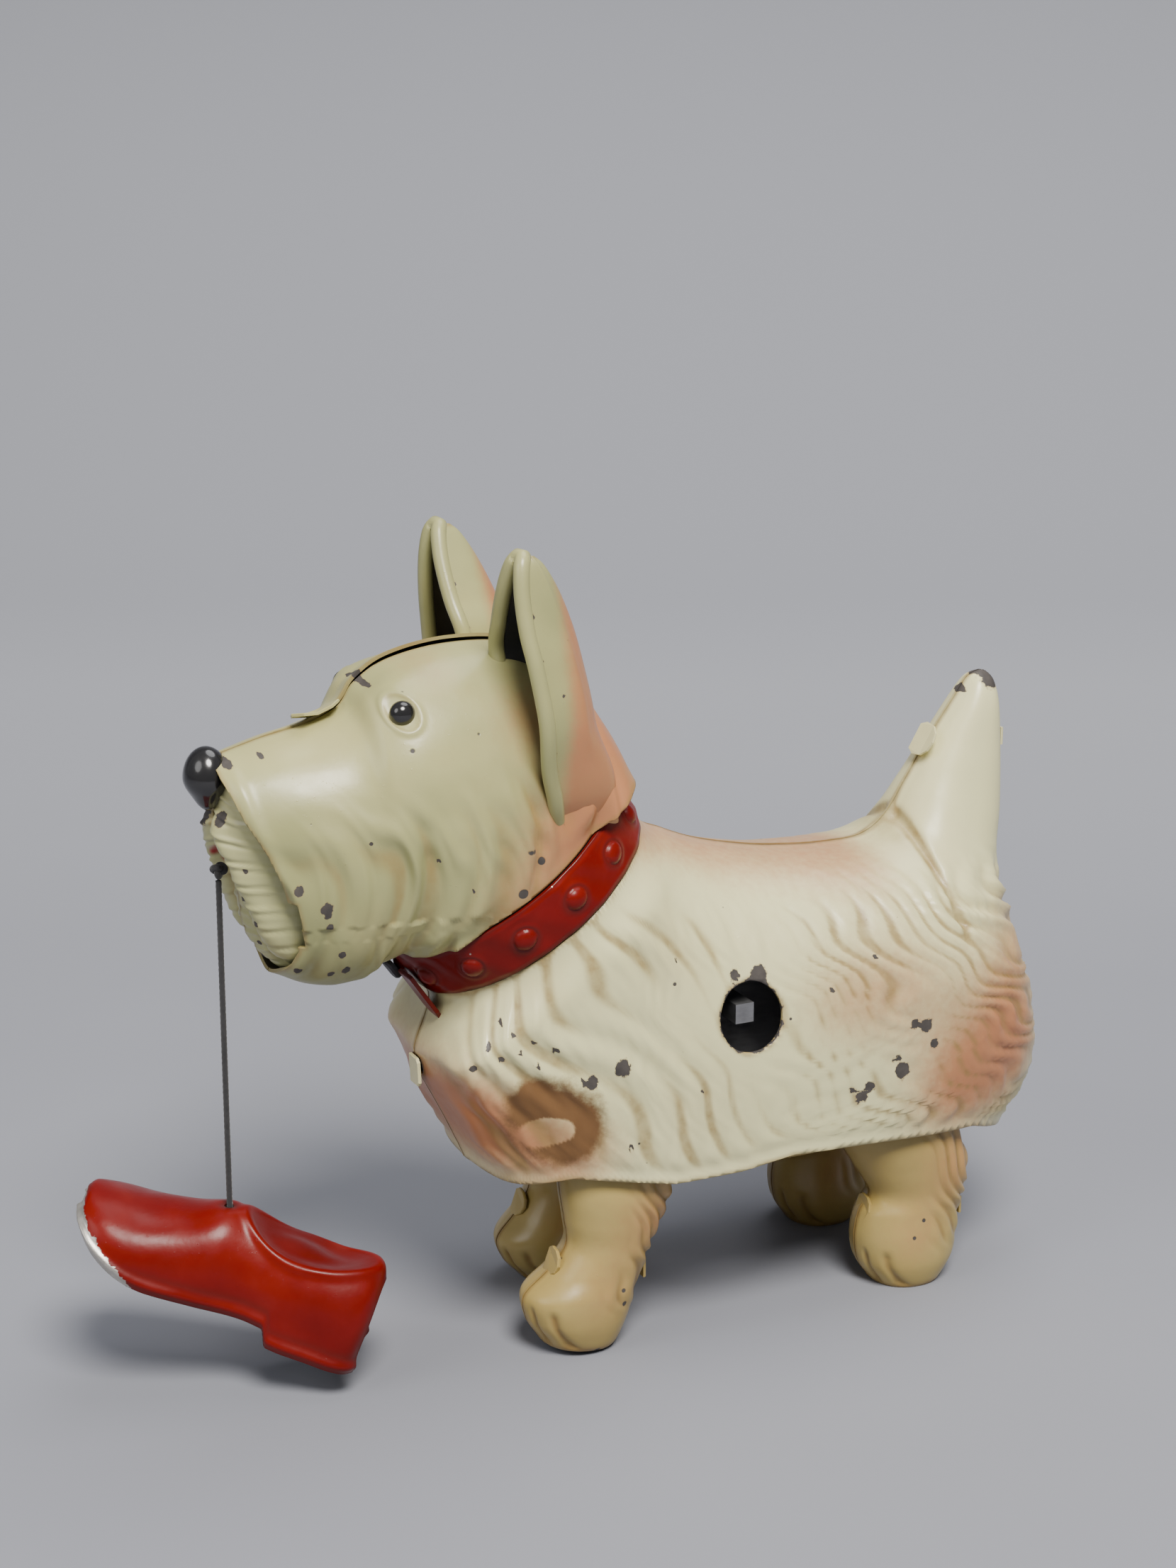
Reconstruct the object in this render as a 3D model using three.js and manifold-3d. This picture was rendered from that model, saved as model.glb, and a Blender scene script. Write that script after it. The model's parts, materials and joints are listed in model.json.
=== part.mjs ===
// Clockwork terrier of pressed tin with a red tin shoe hanging on a thread from its mouth.
// Millimetres. +X points forward to the nose, +Y to the dog's left, +Z up. The floor is z = 0.
import * as THREE from 'three';
import { mergeVertices } from 'three/addons/utils/BufferGeometryUtils.js';
import Module from 'manifold-3d';

const wasm = await Module();
wasm.setup();

// ---------------------------------------------------------------- driving dimensions
const DOG_LENGTH = 138;          // nose to rump
const DOG_HEIGHT = 120;          // floor to ear tips
const DOG_WIDTH = 44;            // across the flanks
const SHEET = 0.6;               // thickness of the pressed tin
const FIT = 0.3;                 // gap left between pieces that touch
const KEY_HOLE_D = 10.4;         // hole in the left flank for the key
const KEY_SQUARE = 3;            // square end of the winding arbor
const KEY_END_DEPTH = 3.5;       // square end below the flank's skin
const PLATE_T = 0.8;             // motor plate thickness
const WHEEL_T = 0.8;             // wheel thickness
const GREAT_TEETH = 36;
const SECOND_PINION_TEETH = 9;
const GREAT_MODULE = 0.8;
const SECOND_TEETH = 30;
const CRANK_PINION_TEETH = 10;
const SECOND_MODULE = 0.6;
const RATCHET_TEETH = 12;
const RATCHET_R = 7.2;
const ARBOR_R = 2;
const SHAFT_R = 1;
const SPRING_R = 12.5;           // coiled mainspring outside radius
const SPRING_TURNS = 5;
const LEG_SWING = 5;             // front legs' swing either side of upright, degrees
const LEG_PLANE = 12.2;          // sideways distance of each leg's own seam
const PLATE_TO_LEG = 4.2;        // room between a motor plate and the leg's lever beside it
const MOTOR_HALF = LEG_PLANE - PLATE_TO_LEG; // half the distance between the motor plates
const CRANK_PIN_R = 0.7;
const COLLAR_WIDTH = 8.0;
const COLLAR_T = 0.7;
const COLLAR_HALF_LENGTH = 19.9; // collar ellipse, fore and aft along its own slope
const COLLAR_HALF_WIDTH = 17.8;  // collar ellipse, sideways
const STUD_R = 1.5;
const STUD_COUNT = 14;
const THREAD_LENGTH = 50.4;
const THREAD_D = 0.9;
const SHOE_LENGTH = 45;
const SHOE_PITCH = 20;           // the heel hangs lower than the toe, degrees
const SHOE_YAW = -30;            // the toe points to the dog's right, degrees

const SX = DOG_LENGTH / 138;
const SZ = DOG_HEIGHT / 120;
const SY = DOG_WIDTH / 44;
const deg = THREE.MathUtils.degToRad;

// ---------------------------------------------------------------- colours
const paint = (color, roughness, metalness) => ({ color, roughness, metalness });
const CREAM = paint(0xd8d8c4, 0.42, 0.1);
const LEG_CREAM = paint(0xd6c99a, 0.42, 0.1);
const RED = paint(0xb3261f, 0.38, 0.1);
const BLACK = paint(0x121214, 0.2, 0.0);
const THREAD_BLACK = paint(0x1a1a1c, 0.9, 0.0);
const STEEL = paint(0x8d9094, 0.35, 0.9);
const BRASS = paint(0xb59a4e, 0.35, 0.9);
const SPRING_STEEL = paint(0x4a5568, 0.3, 0.9);

const model = new THREE.Group();

function addMesh(name, geometry, finish, parent = model) {
  const mesh = new THREE.Mesh(geometry, new THREE.MeshStandardMaterial(finish));
  mesh.name = name;
  parent.add(mesh);
  return mesh;
}

// ---------------------------------------------------------------- solids
// Vertices nearer than this are one vertex, and the slivers between them go.
const WELD = 1e-3;

function welded(geometry) {
  const bare = geometry.index ? geometry.toNonIndexed() : geometry.clone();
  bare.deleteAttribute('normal');
  bare.deleteAttribute('uv');
  const merged = mergeVertices(bare, WELD);
  const all = merged.index.array;
  const triangles = [];
  for (let i = 0; i < all.length; i += 3) {
    const [a, b, c] = [all[i], all[i + 1], all[i + 2]];
    if (a !== b && b !== c && c !== a) triangles.push(a, b, c);
  }
  merged.setIndex(triangles);
  return merged;
}

function toSolid(geometry) {
  const closed = welded(geometry);
  return new wasm.Manifold(new wasm.Mesh({
    numProp: 3,
    vertProperties: new Float32Array(closed.attributes.position.array),
    triVerts: new Uint32Array(closed.index.array),
  }));
}

function toGeometry(solid) {
  const mesh = solid.getMesh();
  const geometry = new THREE.BufferGeometry();
  geometry.setAttribute('position', new THREE.BufferAttribute(new Float32Array(mesh.vertProperties), 3));
  geometry.setIndex(new THREE.BufferAttribute(new Uint32Array(mesh.triVerts), 1));
  return welded(geometry);
}

const moved = (geometry, x, y, z) => geometry.clone().translate(x, y, z);

// A closed skin through a row of rings with equal point counts, ends closed by fans.
function skin(rings) {
  const count = rings[0].length;
  const points = rings.flat().flatMap((p) => [p.x, p.y, p.z]);
  const index = [];
  for (let i = 0; i < rings.length - 1; i++) {
    for (let j = 0; j < count; j++) {
      const a = i * count + j;
      const b = i * count + (j + 1) % count;
      index.push(a, b, a + count, b, b + count, a + count);
    }
  }
  [0, rings.length - 1].forEach((row) => {
    const centre = new THREE.Vector3();
    rings[row].forEach((p) => centre.addScaledVector(p, 1 / count));
    const hub = points.length / 3;
    points.push(centre.x, centre.y, centre.z);
    for (let j = 0; j < count; j++) {
      const a = row * count + j;
      const b = row * count + (j + 1) % count;
      if (row === 0) index.push(b, a, hub);
      else index.push(a, b, hub);
    }
  });
  const geometry = new THREE.BufferGeometry();
  geometry.setAttribute('position', new THREE.Float32BufferAttribute(points, 3));
  geometry.setIndex(index);
  return facingOut(geometry);
}

function facingOut(geometry) {
  const p = geometry.attributes.position;
  const index = geometry.index.array;
  const [a, b, c] = [new THREE.Vector3(), new THREE.Vector3(), new THREE.Vector3()];
  let volume = 0;
  for (let i = 0; i < index.length; i += 3) {
    a.fromBufferAttribute(p, index[i]);
    b.fromBufferAttribute(p, index[i + 1]);
    c.fromBufferAttribute(p, index[i + 2]);
    volume += a.dot(b.cross(c));
  }
  if (volume < 0) {
    for (let i = 0; i < index.length; i += 3) [index[i], index[i + 1]] = [index[i + 1], index[i]];
  }
  return geometry;
}

// ---------------------------------------------------------------- pressed forms
// A form is a row of chords. Each chord runs from an upper edge point (ax, az) to a lower edge
// point (bx, bz) in the dog's middle plane, and bulges sideways by w, as a rounded cross-section.
const chord = (ax, az, bx, bz, w) => ({ ax, az, bx, bz, w });

function interpolate(chords, count) {
  const keys = ['ax', 'az', 'bx', 'bz', 'w'];
  const result = [];
  for (let i = 0; i <= count; i++) {
    const t = (i / count) * (chords.length - 1);
    const k = Math.min(Math.floor(t), chords.length - 2);
    const f = t - k;
    const at = (n) => chords[Math.min(Math.max(n, 0), chords.length - 1)];
    const row = {};
    keys.forEach((key) => {
      const [p0, p1, p2, p3] = [at(k - 1)[key], at(k)[key], at(k + 1)[key], at(k + 2)[key]];
      const m1 = (p2 - p0) / 2;
      const m2 = (p3 - p1) / 2;
      row[key] = (2 * f ** 3 - 3 * f ** 2 + 1) * p1 + (f ** 3 - 2 * f ** 2 + f) * m1
        + (3 * f ** 2 - 2 * f ** 3) * p2 + (f ** 3 - f ** 2) * m2;
    });
    row.w = Math.max(row.w, 0.2);
    result.push(row);
  }
  return result;
}

// The same chords one sheet thickness further in.
function shrink(chords, t) {
  return chords
    .map((c) => {
      const length = Math.hypot(c.bx - c.ax, c.bz - c.az);
      const cut = Math.min(1.25 * t, length / 2.2) / length;
      return chord(
        c.ax + (c.bx - c.ax) * cut, c.az + (c.bz - c.az) * cut,
        c.bx - (c.bx - c.ax) * cut, c.bz - (c.bz - c.az) * cut,
        Math.max(c.w - t, 0.1),
      );
    })
    .filter((c) => Math.hypot(c.bx - c.ax, c.bz - c.az) > 6 * t && c.w > 2.5 * t);
}

function form(chords, sides, fullness) {
  return skin(chords.map((c) => {
    const ring = [];
    for (let j = 0; j < sides; j++) {
      const angle = (2 * Math.PI * j) / sides;
      const v = (1 - Math.cos(angle)) / 2;
      const reach = Math.sqrt(Math.max(0, 1 - Math.abs(Math.cos(angle)) ** fullness));
      const y = c.w * reach * Math.sign(Math.round(Math.sin(angle) * 1e6));
      ring.push(new THREE.Vector3(c.ax + (c.bx - c.ax) * v, y, c.az + (c.bz - c.az) * v));
    }
    return ring;
  }));
}

const scaled = (rows) => rows.map(([ax, az, bx, bz, w]) => chord(ax * SX, az * SZ, bx * SX, bz * SZ, w * SY));

// A big block that keeps everything on the +Y or -Y side of a plane y = offset.
const BLOCK = 600;
function sideBlock(side, offset) {
  return toSolid(moved(new THREE.BoxGeometry(BLOCK, BLOCK, BLOCK), 0, offset + side * (BLOCK / 2), 0));
}

// A block on one side of a slanted plane through (x, z), its normal in the middle plane.
function slantBlock(x, z, normal) {
  const block = new THREE.BoxGeometry(BLOCK, BLOCK, BLOCK).translate(BLOCK / 2, 0, 0);
  block.rotateY(-Math.atan2(normal.z, normal.x)).translate(x, 0, z);
  return toSolid(block);
}

function circle(x, z, r, sides = 20) {
  return Array.from({ length: sides }, (unused, i) => new THREE.Vector2(
    x + r * Math.cos((2 * Math.PI * i) / sides), z + r * Math.sin((2 * Math.PI * i) / sides)));
}

// An outline in the XZ plane drawn out along Y from y0 to y1.
function slab(points, y0, y1, holes = []) {
  const outline = points.map(([x, z]) => new THREE.Vector2(x, z));
  if (THREE.ShapeUtils.isClockWise(outline)) outline.reverse();
  const shape = new THREE.Shape(outline);
  holes.forEach(([x, z, r]) => shape.holes.push(new THREE.Path(circle(x, z, r).reverse())));
  const geometry = new THREE.ExtrudeGeometry(shape, { depth: y1 - y0, bevelEnabled: false });
  return toGeometry(toSolid(geometry.rotateX(Math.PI / 2).translate(0, y1, 0)));
}

function rod(radius, y0, y1, x, z, sides = 20) {
  return moved(new THREE.CylinderGeometry(radius, radius, y1 - y0, sides), x, (y0 + y1) / 2, z);
}

function rodZ(radius, z0, z1, x) {
  const post = new THREE.CylinderGeometry(radius, radius, z1 - z0, 16).rotateX(Math.PI / 2);
  return moved(post, x, 0, (z0 + z1) / 2);
}

// ---------------------------------------------------------------- body shells with the tail
const BODY = scaled([
  [-67.8, 92.9, -68.9, 92.7, 0.5],
  [-65.6, 92.0, -70.2, 91.2, 2.6],
  [-63.2, 88.8, -71.0, 87.5, 4.2],
  [-58.4, 82.2, -71.4, 80.5, 5.6],
  [-54.8, 76.8, -71.2, 71.5, 7.5],
  [-51.3, 71.6, -70.0, 62.0, 10.5],
  [-47.0, 68.9, -72.0, 50.5, 15.5],
  [-41.0, 68.5, -75.0, 38.0, 19.5],
  [-34.0, 68.9, -73.8, 25.0, 21.6],
  [-26.0, 70.0, -58.0, 8.0, 22.0],
  [-16.0, 72.6, -26.0, -6.0, 22.0],
  [-8.0, 76.8, -8.0, -6.0, 21.6],
  [-3.9, 83.0, -1.0, -6.0, 21.0],
  [3.0, 96.0, 6.0, -3.0, 20.2],
  [16.0, 101.0, 14.0, 8.0, 18.8],
  [29.5, 84.0, 19.4, 24.5, 16.8],
  [31.8, 66.0, 22.8, 32.5, 13.6],
  [29.6, 54.0, 25.8, 38.5, 8.5],
  [28.2, 45.0, 27.4, 41.5, 1.6],
]);
const BODY_STEPS = 22;
const BODY_SIDES = 16;
const BODY_FULLNESS = 2.5;

// The open underside: everything below this hem is cut away.
const HEM = [
  [40, 27.5], [19.5, 27.2], [11, 28.6], [-4, 26.2], [-15, 26.5], [-23, 27.6], [-36, 27.0],
  [-57, 25.4], [-66, 22.0], [-90, 21.0], [-90, -20], [40, -20],
].map(([x, z]) => [x * SX, z * SZ]);

// Collar plane: its centre and its upward normal, leaning forward.
const NECK = { x: 12.6 * SX, z: 70.1 * SZ };
const NECK_SLOPE = Math.atan2(0.583 * SZ, 0.813 * SX);
const NECK_NORMAL = { x: Math.sin(NECK_SLOPE), z: Math.cos(NECK_SLOPE) };
const alongNeck = (d) => [NECK.x + d * NECK_NORMAL.x, NECK.z + d * NECK_NORMAL.z];

// Takes a piece built round the Z axis and leans it onto the neck's axis.
const turnToNeck = (geometry) => geometry.rotateY(NECK_SLOPE).translate(NECK.x, 0, NECK.z);

// Elliptical sleeve round the Z axis, its two walls set in or out from the collar's ellipse.
function sleeve(inner, outer, height, sides = 18) {
  const ring = new THREE.Shape().absellipse(
    0, 0, COLLAR_HALF_LENGTH * SX + outer, COLLAR_HALF_WIDTH * SY + outer, 0, 2 * Math.PI, false);
  ring.holes.push(new THREE.Path().absellipse(
    0, 0, COLLAR_HALF_LENGTH * SX + inner, COLLAR_HALF_WIDTH * SY + inner, 0, 2 * Math.PI, true));
  const geometry = new THREE.ExtrudeGeometry(ring,
    { depth: height, bevelEnabled: false, curveSegments: sides });
  return geometry.translate(0, 0, -height / 2);
}

// The head's neck is a short tin sleeve that runs down through the collar into the body.
const NECK_BELOW = 1.6;
const COLLAR_EDGE = COLLAR_WIDTH / 2 + FIT;
const neckSleeve = toSolid(turnToNeck(
  sleeve(-FIT - SHEET, -FIT, COLLAR_WIDTH + 2 * NECK_BELOW)));
const neckPlug = toSolid(turnToNeck(new THREE.CylinderGeometry(1, 1, COLLAR_WIDTH + 4 * NECK_BELOW, 36)
  .rotateX(Math.PI / 2).scale(COLLAR_HALF_LENGTH * SX, COLLAR_HALF_WIDTH * SY, 1)));

function pressed(chords, steps, sides, fullness) {
  const rows = interpolate(chords, steps);
  const outside = toSolid(form(rows, sides, fullness));
  const inside = toSolid(form(shrink(rows, SHEET), sides, fullness));
  return { outside, inside };
}

const ARBOR = { x: -16.6 * SX, z: 50 * SZ };
const body = pressed(BODY, BODY_STEPS, BODY_SIDES, BODY_FULLNESS);
const keyHole = toSolid(rod(KEY_HOLE_D / 2, 0, DOG_WIDTH, ARBOR.x, ARBOR.z, 24));
const bodySkin = body.outside
  .subtract(body.inside)
  .subtract(toSolid(slab(HEM, -DOG_WIDTH, DOG_WIDTH)))
  .subtract(slantBlock(...alongNeck(-COLLAR_EDGE), NECK_NORMAL))
  .subtract(neckPlug)
  .subtract(keyHole);

function halves(solid, plane = 0) {
  return {
    left: solid.intersect(sideBlock(1, plane + FIT / 2)),
    right: solid.intersect(sideBlock(-1, plane - FIT / 2)),
  };
}

const bodyHalves = halves(bodySkin);
addMesh('body_shell_left', toGeometry(bodyHalves.left), CREAM);
addMesh('body_shell_right', toGeometry(bodyHalves.right), CREAM);

// ---------------------------------------------------------------- head shells with the ears
const HEAD = scaled([
  [61.5, 92.0, 53.0, 62.0, 7.8],
  [57.0, 93.2, 49.3, 60.4, 10.0],
  [50.5, 94.9, 45.5, 58.6, 12.2],
  [44.0, 96.2, 41.5, 58.0, 13.8],
  [39.2, 98.2, 38.0, 58.9, 15.0],
  [36.6, 101.5, 35.0, 60.4, 16.0],
  [31.5, 104.4, 31.6, 59.0, 16.8],
  [22.5, 105.9, 27.0, 50.0, 17.3],
  [12.5, 105.0, 18.0, 44.0, 17.5],
  [5.0, 100.5, 8.0, 44.0, 17.5],
  [1.2, 95.0, -2.0, 50.0, 17.2],
  [-1.0, 89.5, -7.0, 60.0, 15.6],
  [-2.6, 84.5, -8.5, 69.0, 12.0],
  [-4.6, 79.0, -9.5, 74.0, 5.0],
]);
const HEAD_STEPS = 17;
const HEAD_SIDES = 16;
const HEAD_FULLNESS = 2.5;
const FACE_PLANE = { x: 58.2 * SX, z: 93.5 * SZ };
const FACE_NORMAL = { x: 30.4 * SZ, z: -9.6 * SX };

// Ear sections from the cheek to the tip: height, front, back, inner and outer limits.
const EAR = [
  [86.0, 14.2, 5.5, 11.0, 19.0],
  [91.0, 15.6, 5.6, 9.0, 19.8],
  [98.0, 16.4, 6.2, 7.0, 20.2],
  [105.0, 17.4, 7.4, 5.6, 19.2],
  [110.0, 18.2, 9.0, 8.2, 18.0],
  [115.0, 18.5, 11.3, 10.8, 17.0],
  [118.6, 18.2, 13.6, 12.6, 16.2],
  [120.0, 17.6, 15.2, 13.6, 15.4],
];
const EAR_SIDES = 12;

// Each section is flat in front and round behind. grow moves every wall out, reach moves the front.
function ear(side, sections, grow, reach) {
  return skin(sections.map(([z, front, back, inner, outer]) => {
    const ring = [];
    const wide = ((outer - inner) / 2) * SY + grow;
    const deep = (front - back) * SX + grow + reach;
    for (let j = 0; j < EAR_SIDES; j++) {
      const angle = (2 * Math.PI * j) / EAR_SIDES;
      const c = Math.cos(angle);
      const s = Math.sin(angle);
      const forward = c > 0 ? Math.min(1, 3 * c) * reach : c * (deep - reach);
      ring.push(new THREE.Vector3(
        front * SX + forward, side * (((outer + inner) / 2) * SY + s * wide), z * SZ));
    }
    return ring;
  }));
}

const head = pressed(HEAD, HEAD_STEPS, HEAD_SIDES, HEAD_FULLNESS);
let headSkin = head.outside;
[1, -1].forEach((side) => {
  headSkin = headSkin.add(toSolid(ear(side, EAR, 0, 0.01)));
});
const EAR_HOLLOW = EAR.slice(0, -1);
[1, -1].forEach((side) => {
  headSkin = headSkin.subtract(toSolid(ear(side, EAR_HOLLOW, -1.4 * SHEET, 6)).subtract(head.outside));
});
headSkin = headSkin
  .subtract(head.inside)
  .subtract(slantBlock(FACE_PLANE.x, FACE_PLANE.z, FACE_NORMAL))
  .subtract(slantBlock(...alongNeck(COLLAR_EDGE), { x: -NECK_NORMAL.x, z: -NECK_NORMAL.z }))
  .add(neckSleeve);
const EYE = { x: 33.6 * SX, y: 10.6 * SY, z: 98.8 * SZ, r: 2.2 };
[1, -1].forEach((side) => {
  const socket = new THREE.SphereGeometry(EYE.r + FIT, 12, 8);
  headSkin = headSkin.subtract(toSolid(moved(socket, EYE.x, side * EYE.y, EYE.z)));
});
const headHalves = halves(headSkin);
addMesh('head_shell_left', toGeometry(headHalves.left), CREAM);
addMesh('head_shell_right', toGeometry(headHalves.right), CREAM);

['left', 'right'].forEach((name, k) => {
  const bead = new THREE.SphereGeometry(EYE.r, 12, 8);
  addMesh(`eye_${name}`, moved(bead, EYE.x, (1 - 2 * k) * EYE.y, EYE.z), BLACK);
});

// ---------------------------------------------------------------- face pressing, nose and knot
const FACE = scaled([
  [51.0, 93.2, 43.5, 61.2, 10.0],
  [55.6, 92.0, 47.5, 61.5, 8.6],
  [57.6, 89.5, 50.6, 63.4, 7.4],
  [58.0, 86.0, 52.4, 66.4, 5.6],
  [57.9, 83.5, 53.8, 70.5, 3.6],
  [57.2, 81.0, 55.0, 75.5, 1.2],
]);
const FACE_STEPS = 6;
const NOSE = { x: 58.4 * SX, z: 89.8 * SZ, rx: 3.3, ry: 4.2, rz: 4.3 };
const THREAD_X = 57.2 * SX;
const THREAD_TOP = 76.6 * SZ;
const KNOT_R = 1.2;

function opened(chords, extra) {
  const [first, second] = chords;
  const step = (key) => first[key] + (first[key] - second[key]) * extra;
  return [chord(step('ax'), first.az, step('bx'), first.bz, first.w), ...chords];
}

const noseBead = new THREE.SphereGeometry(1, 14, 10).scale(NOSE.rx, NOSE.ry, NOSE.rz);
const noseRoom = new THREE.SphereGeometry(1, 14, 10).scale(NOSE.rx + FIT, NOSE.ry + FIT, NOSE.rz + FIT);
const faceRows = interpolate(FACE, FACE_STEPS);
const faceInside = opened(shrink(faceRows, SHEET), 2);
const facePressing = toSolid(form(faceRows, HEAD_SIDES, HEAD_FULLNESS))
  .subtract(toSolid(form(faceInside, HEAD_SIDES, HEAD_FULLNESS)))
  .subtract(toSolid(moved(noseRoom, NOSE.x, 0, NOSE.z)));
addMesh('muzzle', toGeometry(facePressing), CREAM);
const noseSolid = toSolid(moved(noseBead, NOSE.x, 0, NOSE.z))
  .subtract(toSolid(form(interpolate(HEAD, HEAD_STEPS), HEAD_SIDES, HEAD_FULLNESS))
    .subtract(slantBlock(FACE_PLANE.x, FACE_PLANE.z, FACE_NORMAL)));
addMesh('nose', toGeometry(noseSolid), BLACK);

// ---------------------------------------------------------------- collar
let collar = toSolid(turnToNeck(sleeve(0, COLLAR_T, COLLAR_WIDTH)));
for (let i = 0; i < STUD_COUNT; i++) {
  const angle = deg(96) + (2 * Math.PI * i) / STUD_COUNT;
  const x = (COLLAR_HALF_LENGTH * SX + COLLAR_T / 2) * Math.cos(angle);
  const y = (COLLAR_HALF_WIDTH * SY + COLLAR_T / 2) * Math.sin(angle);
  const stud = moved(new THREE.SphereGeometry(STUD_R, 6, 4), x, y, 0);
  collar = collar.add(toSolid(turnToNeck(stud)).subtract(
    toSolid(turnToNeck(sleeve(-30 + COLLAR_T, 0, COLLAR_WIDTH + 4)))));
}
addMesh('collar_band', toGeometry(collar), RED);

// The strap's free end and its steel clasp hang at the throat, just ahead of the band.
const STRAP_LIFT = 1.6;
const THROAT = COLLAR_HALF_LENGTH * SX + COLLAR_T + STUD_R * 0.2 + FIT;
const strapEnd = new THREE.BoxGeometry(COLLAR_T, 5, 7).translate(THROAT + STRAP_LIFT, 2.6, -1.8);
addMesh('collar_strap_end', turnToNeck(strapEnd), RED);
const clasp = new THREE.BoxGeometry(COLLAR_T * 1.5, 4, 3.6).translate(THROAT + STRAP_LIFT, -2.4, 0.6);
addMesh('collar_clasp', turnToNeck(clasp), STEEL);

// ---------------------------------------------------------------- legs
const HIP = { x: 2.5 * SX, z: 46 * SZ };
const SOLE_FRONT = 9.6;
const FRONT_LEG = [
  [9.2, 31.0, -10.0, 31.0, 4.6],
  [9.3, 27.0, -10.0, 27.0, 5.6],
  [8.6, 23.0, -9.4, 23.5, 6.4],
  [7.6, 19.0, -8.2, 19.5, 6.3],
  [7.0, 15.0, -6.8, 16.0, 6.0],
  [9.6, 11.2, -5.5, 11.5, 6.2],
  [13.2, 7.6, -4.7, 8.5, 6.9],
  [12.6, 4.0, -3.6, 4.5, 7.0],
  [10.6, 1.2, -2.4, 1.2, 6.2],
  [SOLE_FRONT, 0.0, -1.6, 0.0, 5.4],
];
const REAR_LEG = [
  [-35.5, 31.0, -56.5, 31.0, 4.8],
  [-36.0, 27.0, -57.2, 27.0, 5.6],
  [-37.2, 23.4, -58.0, 22.5, 6.3],
  [-40.0, 19.0, -59.3, 18.5, 6.3],
  [-42.2, 15.0, -58.9, 14.0, 6.0],
  [-40.4, 12.0, -58.0, 11.5, 6.3],
  [-39.7, 8.0, -57.4, 8.0, 6.9],
  [-40.4, 4.0, -56.8, 4.3, 7.0],
  [-42.2, 1.2, -55.0, 1.2, 6.2],
  [-43.2, 0.0, -54.0, 0.0, 5.4],
];
const LEG_STEPS = 9;
const LEG_SIDES = 12;
const LEG_FULLNESS = 2.3;
const REAR_LEG_PLANE = 13.0;

// Two pressed halves of one leg, open at the top and closed by the sole.
function legHalves(rows, plane) {
  const steps = interpolate(scaled(rows), LEG_STEPS);
  const inner = opened(shrink(steps, SHEET), 1)
    .filter((c) => Math.min(c.az, c.bz) > 1.5 * SHEET);
  inner[0].az += 2;
  inner[0].bz += 2;
  const hollow = toSolid(form(steps, LEG_SIDES, LEG_FULLNESS))
    .subtract(toSolid(form(inner, LEG_SIDES, LEG_FULLNESS)));
  return halves(hollow.translate(0, plane, 0), plane);
}

const swing = deg(LEG_SWING);
const PAW_LIFT = (SOLE_FRONT * SX - HIP.x) * Math.sin(swing) - HIP.z * (1 - Math.cos(swing));
const LEVER_T = 0.8;
const LEVER_HALF = 2.4;
const HIP_PIN_R = 1.2;
const CRANK = { x: HIP.x, z: 60.5 * SZ };
const LEVER_REACH = CRANK.z - HIP.z;
const CRANK_THROW = LEVER_REACH * Math.tan(swing);

// Everything on a front leg is built round its hip and then swung about it.
['left', 'right'].forEach((name, k) => {
  const side = 1 - 2 * k;
  const plane = side * LEG_PLANE * SY;
  const leg = new THREE.Group();
  leg.position.set(HIP.x, 0, HIP.z);
  leg.rotation.y = -side * swing;
  model.add(leg);
  const pair = legHalves(FRONT_LEG, plane);
  const inward = side > 0 ? pair.right : pair.left;
  const outward = side > 0 ? pair.left : pair.right;
  const toHip = (solid) => moved(toGeometry(solid), -HIP.x, 0, PAW_LIFT - HIP.z);
  addMesh(`front_leg_${name}_outer`, toHip(outward), LEG_CREAM, leg);
  addMesh(`front_leg_${name}_inner`, toHip(inward), LEG_CREAM, leg);
  const slotHalf = CRANK_PIN_R + FIT;
  const lever = toSolid(slab([
    [-LEVER_HALF, -33 * SZ], [LEVER_HALF, -33 * SZ],
    [LEVER_HALF, LEVER_REACH + 4], [-LEVER_HALF, LEVER_REACH + 4],
  ], plane - LEVER_T / 2, plane + LEVER_T / 2, [[0, 0, HIP_PIN_R + FIT]]));
  const slot = toSolid(slab([
    [-slotHalf, LEVER_REACH - 2.4], [slotHalf, LEVER_REACH - 2.4],
    [slotHalf, LEVER_REACH + 2.4], [-slotHalf, LEVER_REACH + 2.4],
  ], plane - LEVER_T, plane + LEVER_T));
  addMesh(`front_leg_${name}_lever`, toGeometry(lever.subtract(slot)), STEEL, leg);
});

['left', 'right'].forEach((name, k) => {
  const side = 1 - 2 * k;
  const pair = legHalves(REAR_LEG, side * REAR_LEG_PLANE * SY);
  addMesh(`rear_leg_${name}_outer`, toGeometry(side > 0 ? pair.left : pair.right), LEG_CREAM);
  addMesh(`rear_leg_${name}_inner`, toGeometry(side > 0 ? pair.right : pair.left), LEG_CREAM);
});

// ---------------------------------------------------------------- motor frame
const PLATE_OUT = MOTOR_HALF + PLATE_T;
const REAR_ROD = { x: -48 * SX, z: 41 * SZ };
const REAR_ROD_R = 1.2;
const PILLAR_R = 1.5;
const PILLARS = [[-31.5, 62], [-31.5, 38], [9.5, 66.5], [11, 36.5]];
const PLATE = [
  [-53, 36.5], [-53, 45.5], [-34, 53], [-34, 64.5], [6, 70.5], [13, 69], [14, 33.5], [-34, 34],
].map(([x, z]) => [x * SX, z * SZ]);

const wheelR = (teeth, gearModule) => (teeth * gearModule) / 2;
const distance12 = wheelR(GREAT_TEETH + SECOND_PINION_TEETH, GREAT_MODULE);
const distance23 = wheelR(SECOND_TEETH + CRANK_PINION_TEETH, SECOND_MODULE);

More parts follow.
